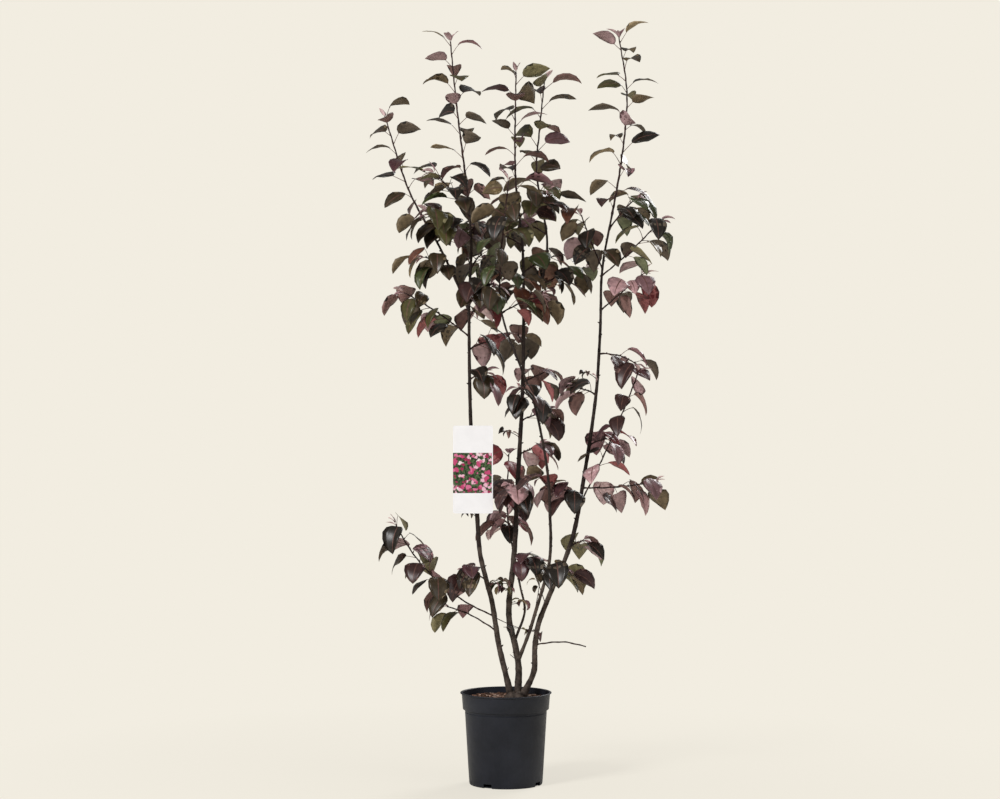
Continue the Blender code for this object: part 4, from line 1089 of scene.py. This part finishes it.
def potMaterial():
    # black plastic, tinted blue and lighter in soft patches as a painted bluish reflection, with fine
    # dusty scuffs
    # painted reflection: the blue-grey base colour stands in for bluish reflections on the black plastic
    material, tree, shader = newMaterial("pot_black", srgb(24, 26, 34), 0.38, 0.3)
    reflectionCloud = noiseOf(tree, 9.0, 5.0, 0.6)
    # painted reflection: soft lighter blue patches over the black stand in for soft reflections
    tintBy(tree, shader, reflectionCloud.outputs["Fac"], srgb(19, 22, 31), srgb(37, 40, 50), 0.35, 0.75)
    scuff = noiseOf(tree, 38.0, 6.0, 0.7)
    rough = mapRange(tree, scuff.outputs["Fac"], 0.0, 1.0, *pot["roughness"])
    tree.links.new(rough, shader.inputs["Roughness"])
    fine = noiseOf(tree, 260.0, 3.0)
    bumpBy(tree, shader, fine.outputs["Fac"], 0.18, 0.0008)
    return material


def potProfile():
    # from the floor's middle, up the inside, round the rolled lip, down the outside and under
    wall, top, step = pot["wall"], pot["height"], pot["bandFootHeight"]
    body, foot, band, ledge = pot["bodyTop"], pot["foot"], pot["bandTop"], pot["bandFoot"]
    slope = (body - foot) / step
    turns = np.linspace(math.pi / 2, -math.pi / 2, 7)
    roll = pot["lipRoll"]
    inside = [(0.0, 0.003), (foot + slope * 0.003 - wall - 0.003, 0.003),
              (foot + slope * 0.006 - wall, 0.006), (body - wall, step + wall - 0.001),
              (body - wall + 0.001, step + wall), (ledge - wall, step + 2 * wall),
              (band - wall, top - 0.001), (band - wall + 0.001, top)]
    lip = [(pot["lip"] - roll + roll * math.cos(t), top - roll + roll * math.sin(t)) for t in turns]
    outside = [(band + 0.0012, top - 0.0031), (band, top - 0.0042), (ledge + 0.0004, step + 0.0016),
               (ledge - 0.0003, step + 0.0004), (ledge - 0.0012, step), (body + 0.0006, step),
               (body, step - 0.0008), (body - 0.0001 - slope * 0.004, step - 0.005),
               (body - 0.0011 - slope * 0.006, step - 0.0058),
               (body - 0.0011 - slope * 0.008, step - 0.0074), (body - slope * 0.009, step - 0.0085),
               (foot + slope * 0.03 + 0.0002, 0.030), (foot + slope * 0.004, 0.004),
               (foot - 0.0004, 0.0012), (foot - 0.0016, 0.0), (0.0, 0.0)]
    return inside + lip + outside


def latheMesh(profile, sides):
    # the profile turned about Z, with one point at each pole
    profile = np.array(profile)
    turns = np.linspace(0, 2 * math.pi, sides, endpoint=False)
    body = profile[1:-1]
    heights = np.repeat(body[:, 1:], sides, axis=1)
    ring = np.stack([body[:, :1] * np.cos(turns), body[:, :1] * np.sin(turns), heights], axis=-1)
    points = np.vstack([ring.reshape(-1, 3), [[0, 0, profile[0, 1]], [0, 0, profile[-1, 1]]]])
    count = len(body)
    faces = tubeFaces(count, sides)[1:-1]
    top, under, last = count * sides, count * sides + 1, (count - 1) * sides
    faces += [(top, (i + 1) % sides, i) for i in range(sides)]
    faces += [(under, last + i, last + (i + 1) % sides) for i in range(sides)]
    return points, faces


points, faces = latheMesh(potProfile(), pot["sides"])
potPiece = addPiece("nurseryPot", points, faces, [potMaterial()], np.zeros(len(faces)),
                    ["pot"])
faceOutwards(potPiece)


def notchBoxes():
    # a box across the foot at each even turn, its corners the signs of a cube scaled and turned
    half = [pot["notchDepth"] / 2, pot["notchWidth"] / 2, pot["notchHeight"]]
    box = boxSigns * half + [pot["foot"], 0, 0]
    turns = pot["firstNotch"] + 360.0 * np.arange(pot["notches"])[:, None] / pot["notches"]
    turns = np.radians(turns)
    x = box[:, 0] * np.cos(turns) - box[:, 1] * np.sin(turns)
    y = box[:, 0] * np.sin(turns) + box[:, 1] * np.cos(turns)
    points = np.stack([x, y, np.broadcast_to(box[:, 2], x.shape)], axis=-1).reshape(-1, 3)
    return points, [tuple(i + 8 * k for i in f) for k in range(pot["notches"]) for f in boxFaces]


points, faces = notchBoxes()
cutterMesh = bpy.data.meshes.new("notches")
cutterMesh.from_pydata(points.tolist(), [], faces)
cutterObject = bpy.data.objects.new("notches", cutterMesh)
bpy.context.scene.collection.objects.link(cutterObject)
cut = potPiece.modifiers.new("notches", "BOOLEAN")
cut.operation, cut.solver, cut.object = "DIFFERENCE", "EXACT", cutterObject
bpy.context.view_layer.update()
evaluated = potPiece.evaluated_get(bpy.context.evaluated_depsgraph_get())
cutResult = bpy.data.meshes.new_from_object(evaluated)
potPiece.modifiers.clear()
potPiece.data = cutResult
bpy.data.objects.remove(cutterObject)
potPiece.data.polygons.foreach_set("use_smooth", np.full(len(potPiece.data.polygons), True))
potPiece.data.set_sharp_from_angle(angle=math.radians(pot["creaseAngle"]))
print("pot turned and notched")

soil = {"rings": 40, "sides": 120, "rough": 0.014, "waves": 18, "chips": 520, "seed": 9}


def soilMaterial(name, dark, light, scale=120.0):
    # two browns by noise, with the same noise as relief
    material, tree, shader = newMaterial(name, dark, 0.95, 0.2)
    noise = noiseOf(tree, scale, 6.0, 0.7)
    tintBy(tree, shader, noise.outputs["Fac"], dark, light, 0.36, 0.62)
    bumpBy(tree, shader, noise.outputs["Fac"], 0.8, 0.002)
    return material


def soilSurface(dice):
    # rings out to the wall whose height is a sum of seeded waves, over a short skirt
    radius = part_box("soil")[1][0] - 0.0002
    shares = np.linspace(0.0, 1.0, soil["rings"])[1:, None]
    turns = np.linspace(0, 2 * math.pi, soil["sides"], endpoint=False)[None, :]
    x, y = radius * shares * np.cos(turns), radius * shares * np.sin(turns)
    z = np.zeros_like(x)
    for _ in range(soil["waves"]):
        turn, pitch, phase = dice.uniform(0, 6.28), dice.uniform(60, 420), dice.uniform(0, 6.28)
        along = x * math.cos(turn) + y * math.sin(turn)
        z += np.sin(along * pitch + phase) * soil["rough"] / pitch**0.75
    z = soilTop - 0.002 + z * (1 - shares**8) + 0.003 * shares**6
    top = np.stack([x, y, z], axis=-1).reshape(-1, 3)
    skirt = np.stack([x[-1], y[-1], np.full(soil["sides"], soilTop - 0.02)], axis=-1)
    points = np.vstack([top, skirt, [[0, 0, soilTop - 0.002]]])
    faces = [tuple(reversed(f)) for f in tubeFaces(soil["rings"], soil["sides"])[1:-1]]
    middle = len(points) - 1
    faces += [(middle, i, (i + 1) % soil["sides"]) for i in range(soil["sides"])]
    last = (soil["rings"] - 1) * soil["sides"]
    faces.append(tuple(range(last + soil["sides"] - 1, last - 1, -1)))
    return points, faces


def chipMesh(dice):
    # flat splinters with a ragged outline, strewn over the soil and tipped by chance
    count = soil["chips"]
    corners = np.array([(-1, -.6, 0), (.1, -1, 0), (1, -.3, 0), (.7, .8, 0), (-.5, .9, 0)])
    shape = corners[None] * dice.uniform(0.6, 1.2, (count, 5, 1))
    shape = shape * (dice.uniform(0.0022, 0.0075, (count, 1, 1)) * np.array([1.0, 0.5, 1.0]))
    lower, upper = shape - [0, 0, 0.0008], shape + [0, 0, 0.0008]
    both = np.concatenate([lower, upper], axis=1)
    spin, tip = dice.uniform(0, 6.28, count), dice.normal(0, 0.35, count)
    cosS, sinS, cosT, sinT = (f(a)[:, None] for a in (spin, tip) for f in (np.cos, np.sin))
    x, y, z = both[..., 0], both[..., 1], both[..., 2]
    y, z = y * cosT - z * sinT, y * sinT + z * cosT
    x, y = x * cosS - y * sinS, x * sinS + y * cosS
    reach = (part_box("soil")[1][0] - 0.006) * np.sqrt(dice.uniform(0, 1, count))
    where = dice.uniform(0, 6.28, count)
    x, y = x + (reach * np.cos(where))[:, None], y + (reach * np.sin(where))[:, None]
    z = z + soilTop + dice.uniform(-0.001, 0.003, count)[:, None]
    points = np.stack([x, y, z], axis=-1).reshape(-1, 3)
    one = [(4, 3, 2, 1, 0), (5, 6, 7, 8, 9)]
    one += [(i, (i + 1) % 5, (i + 1) % 5 + 5, i + 5) for i in range(5)]
    faces = [tuple(i + 10 * k for i in f) for k in range(count) for f in one]
    slots = np.repeat(dice.choice(3, count, p=(0.45, 0.35, 0.20)), len(one))
    return points, faces, slots


dice = np.random.default_rng(soil["seed"])
points, faces = soilSurface(dice)
soilFinish = soilMaterial("soil_brown", srgb(52, 38, 30), srgb(104, 78, 62))
soilPiece = addPiece("pottingSoil", points, faces, [soilFinish], np.zeros(len(faces)),
                     ["soil"])
faceOutwards(soilPiece)
points, faces, slots = chipMesh(dice)
chipFinish = [soilMaterial("chip_brown", srgb(84, 58, 46), srgb(134, 100, 82)),
              soilMaterial("chip_dark", srgb(58, 40, 32), srgb(96, 70, 54)),
              soilMaterial("chip_pale", srgb(148, 118, 104), srgb(198, 174, 158))]
chipPiece = addPiece("barkChips", points, faces, chipFinish, slots, ["soil"],
                     smooth=False)
faceOutwards(chipPiece)
print("soil and chips")


# Hanging card.

def cardMaterial(name, colour, roughness):
    # a pale card, a little darker in soft patches
    material, tree, shader = newMaterial(name, colour, roughness, 0.4)
    noise = noiseOf(tree, 30.0)
    tintBy(tree, shader, noise.outputs["Fac"], tuple(v * 0.96 for v in colour), colour)
    return material


blossoms = [(0.0, (196, 72, 118)), (0.30, (236, 186, 204)), (0.46, (158, 40, 84)),
            (0.66, (214, 112, 150)), (0.86, (240, 222, 224))]


def printMaterial():
    # a generic blossom print: warped cells of white and pinks, each its own tone, over dark green
    material, tree, shader = newMaterial("card_print", srgb(150, 80, 100), 0.35, 0.4)
    place = addNode(tree, "ShaderNodeTexCoord")
    warp = addNode(tree, "ShaderNodeTexNoise", Scale=70.0, Detail=3.0)
    shift = addNode(tree, "ShaderNodeVectorMath", operation="MULTIPLY_ADD")
    shift.inputs[1].default_value = (0.022, 0.022, 0.022)
    tree.links.new(place.outputs["Object"], warp.inputs["Vector"])
    tree.links.new(warp.outputs["Color"], shift.inputs[0])
    tree.links.new(place.outputs["Object"], shift.inputs[2])
    cells = addNode(tree, "ShaderNodeTexVoronoi", Scale=85.0)
    tree.links.new(shift.outputs["Vector"], cells.inputs["Vector"])
    petals = addNode(tree, "ShaderNodeValToRGB")
    petals.color_ramp.interpolation = "CONSTANT"
    for k, (at, colour) in enumerate(blossoms):
        spot = petals.color_ramp.elements[k] if k < 2 else petals.color_ramp.elements.new(at)
        spot.position, spot.color = at, (*srgb(*colour), 1.0)
    tree.links.new(cells.outputs["Color"], petals.inputs["Fac"])
    edge = mapRange(tree, cells.outputs["Distance"], 0.42, 0.52, 0.0, 1.0)
    ground = noiseOf(tree, 160.0)
    leaves = tintBy(tree, shader, ground.outputs["Fac"], srgb(24, 36, 22), srgb(86, 112, 70),
                    0.42, 0.62)
    mix = addNode(tree, "ShaderNodeMix", data_type="RGBA")
    tree.links.new(edge, mix.inputs[0])
    tree.links.new(petals.outputs["Color"], mix.inputs[6])
    tree.links.new(leaves.outputs["Color"], mix.inputs[7])
    tree.links.new(mix.outputs[2], shader.inputs["Base Color"])
    return material


def cardMesh(centre):
    # a thin plate whose corners are rounded, with the printed block as faces of its own
    w, h, t = card["width"] / 2, card["height"], card["thickness"] / 2
    x, y, top = centre[0] + card["shift"], centre[1] - card["forward"], card["top"]
    near, far = card["border"]
    columns = np.array([-w, -w + near, -w + far, w - far, w - near, w])
    rows = np.array([0.0, near, far, *card["printed"], h - far, h - near, h])
    gx, gz = np.meshgrid(columns, rows, indexing="ij")
    corner = card["corner"]
    bx, bz = np.clip(gx, -w + corner, w - corner), np.clip(gz, corner, h - corner)
    d = np.hypot(gx - bx, gz - bz)
    k = np.where(d > corner, corner / np.maximum(d, 1e-9), 1.0)
    gx, gz = bx + (gx - bx) * k, bz + (gz - bz) * k
    front = np.stack([x + gx, np.full_like(gx, y - t), top - gz], axis=-1).reshape(-1, 3)
    back = front + np.array([0.0, 2 * t, 0.0])
    nc, nr = gx.shape
    count = nc * nr
    faces, slots = [], []
    for i in range(nc - 1):
        for j in range(nr - 1):
            a, b = i * nr + j, (i + 1) * nr + j
            c, d = b + 1, a + 1
            faces += [(a, d, c, b), (a + count, b + count, c + count, d + count)]
            slots += [1 if j == 3 and i < 4 else 0, 0]
    rim = [i * nr for i in range(nc)] + [(nc - 1) * nr + j for j in range(1, nr)] \
        + [i * nr + nr - 1 for i in range(nc - 2, -1, -1)] + [j for j in range(nr - 2, 0, -1)]
    for a, b in zip(rim, rim[1:] + rim[:1]):
        faces.append((a, b, b + count, a + count))
        slots.append(0)
    return np.vstack([front, back]), faces, slots


points, faces, slots = cardMesh(cardCentre)
cardFinish = [cardMaterial("card_white", srgb(250, 249, 252), 0.35), printMaterial()]
cardPiece = addPiece("hangingCard", points, faces, cardFinish, slots, ["label"],
                     smooth=False)
faceOutwards(cardPiece)


def strapMesh(centre, radius):
    # a flat band round the stem, drawn out at the front to reach the card
    inner = radius + card["strapClearance"]
    outer, tall, sides = inner + card["strapThickness"], card["strapWidth"], card["strapSides"]
    turns = np.linspace(0, 2 * math.pi, sides, endpoint=False)
    reach = card["forward"] + card["thickness"] / 2
    points = []
    for r, up in ((inner, 0.0), (outer, 0.0), (outer, tall), (inner, tall)):
        x, y = r * np.cos(turns), r * np.sin(turns)
        y = np.where(y < 0, y * reach / outer, y)
        z = np.full_like(x, card["top"] - 1.5 * tall + up)
        points.append(np.column_stack([centre[0] + x, centre[1] + y, z]))
    ring = np.stack(points, axis=1).reshape(-1, 3)
    k, j = np.meshgrid(np.arange(sides), np.arange(4), indexing="ij")
    a, b, after = k * 4 + j, k * 4 + (j + 1) % 4, (k + 1) % sides * 4
    return ring, np.stack([a, b, after + (j + 1) % 4, after + j], axis=-1).reshape(-1, 4).tolist()


points, faces = strapMesh(cardCentre, cardStemRadius)
strapFinish = cardMaterial("card_strap", srgb(228, 226, 226), 0.4)
strapPiece = addPiece("cardStrap", points, faces, [strapFinish], np.zeros(len(faces)),
                      ["label"], smooth=False)
faceOutwards(strapPiece)
print("card and strap")


# Floor, light and camera.

stage = {"cream": srgb(242, 237, 225), "floorSize": 30.0, "roomLight": (1.0, 0.985, 0.95),
         "roomStrength": 0.26, "matteNear": 0.30, "fadeFrom": 0.25, "fadeTo": 1.6,
         "floorDrop": 0.0005,
         "lights": [((-3.2, -3.6, 3.3), 1.3, 200.0), ((3.4, -2.6, 1.9), 2.4, 26.0),
                    ((1.9, 2.8, 2.9), 1.6, 80.0)]}
scene = bpy.context.scene
scene.view_settings.view_transform = "Standard"


def mixShaders(tree, factor, first, second):
    # the first shader where the factor is nothing, and the second where it is one
    mix = addNode(tree, "ShaderNodeMixShader")
    tree.links.new(factor, mix.inputs[0])
    tree.links.new(first.outputs[0], mix.inputs[1])
    tree.links.new(second.outputs[0], mix.inputs[2])
    return mix


def makeRoom():
    # the backdrop's cream to the camera, and a weaker light to all else
    world = bpy.data.worlds.new("paleRoom")
    scene.world = world
    world.use_nodes = True
    tree = world.node_tree
    seen = tree.nodes["Background"]
    seen.inputs["Color"].default_value = (*stage["cream"], 1.0)
    lit = addNode(tree, "ShaderNodeBackground", Color=(*stage["roomLight"], 1.0),
                  Strength=stage["roomStrength"])
    rays = addNode(tree, "ShaderNodeLightPath")
    mix = mixShaders(tree, rays.outputs["Is Camera Ray"], lit, seen)
    tree.links.new(mix.outputs[0], tree.nodes["World Output"].inputs["Surface"])


def addFloor():
    # a wide plane a hair below the pot: matte near it, and fading into the backdrop further off
    half, low = stage["floorSize"] / 2, -stage["floorDrop"]
    mesh = bpy.data.meshes.new("floor")
    mesh.from_pydata([(-half, -half, low), (half, -half, low), (half, half, low), (-half, half, low)],
                     [], [(0, 1, 2, 3)])
    floor = bpy.data.objects.new("floor", mesh)
    scene.collection.objects.link(floor)
    material = bpy.data.materials.new("floor_cream")
    material.use_nodes = True
    tree = material.node_tree
    tree.nodes.clear()
    glow = addNode(tree, "ShaderNodeEmission", Color=(*stage["cream"], 1.0), Strength=1.0)
    matte = addNode(tree, "ShaderNodeBsdfDiffuse", Color=(*stage["cream"], 1.0))
    place = addNode(tree, "ShaderNodeTexCoord")
    away = addNode(tree, "ShaderNodeVectorMath", operation="LENGTH")
    tree.links.new(place.outputs["Object"], away.inputs[0])
    fade = mapRange(tree, away.outputs["Value"], stage["fadeFrom"], stage["fadeTo"],
                    stage["matteNear"], 0.0)
    shown = mixShaders(tree, fade, glow, matte)
    rays = addNode(tree, "ShaderNodeLightPath")
    out = addNode(tree, "ShaderNodeOutputMaterial")
    mix = mixShaders(tree, rays.outputs["Is Camera Ray"], matte, shown)
    tree.links.new(mix.outputs[0], out.inputs["Surface"])
    mesh.materials.append(material)


def addLight(where, size, power):
    # a square softbox turned towards the middle of the crown
    light = bpy.data.lights.new("softbox", "AREA")
    light.size, light.energy = size, power
    lamp = bpy.data.objects.new("softbox", light)
    scene.collection.objects.link(lamp)
    lamp.location = where
    aim = np.array([0.0, 0.0, 1.0]) - np.array(where)
    tilt = math.acos(-aim[2] / np.linalg.norm(aim))
    lamp.rotation_euler = (tilt, 0.0, math.atan2(aim[1], aim[0]) - math.pi / 2)


makeRoom()
addFloor()
for where, size, power in stage["lights"]:
    addLight(where, size, power)

view = {"distance": 6.0, "width": 2.626, "x": -0.0155, "z": 1.008}
cameraData = bpy.data.cameras.new("camera")
cameraData.sensor_width = 36.0
cameraData.lens = 36.0 * view["distance"] / view["width"]
camera = bpy.data.objects.new("camera", cameraData)
scene.collection.objects.link(camera)
camera.location = (view["x"], -view["distance"], view["z"])
camera.rotation_euler = (math.radians(90.0), 0.0, 0.0)
scene.camera = camera
print("floor, lights and camera")
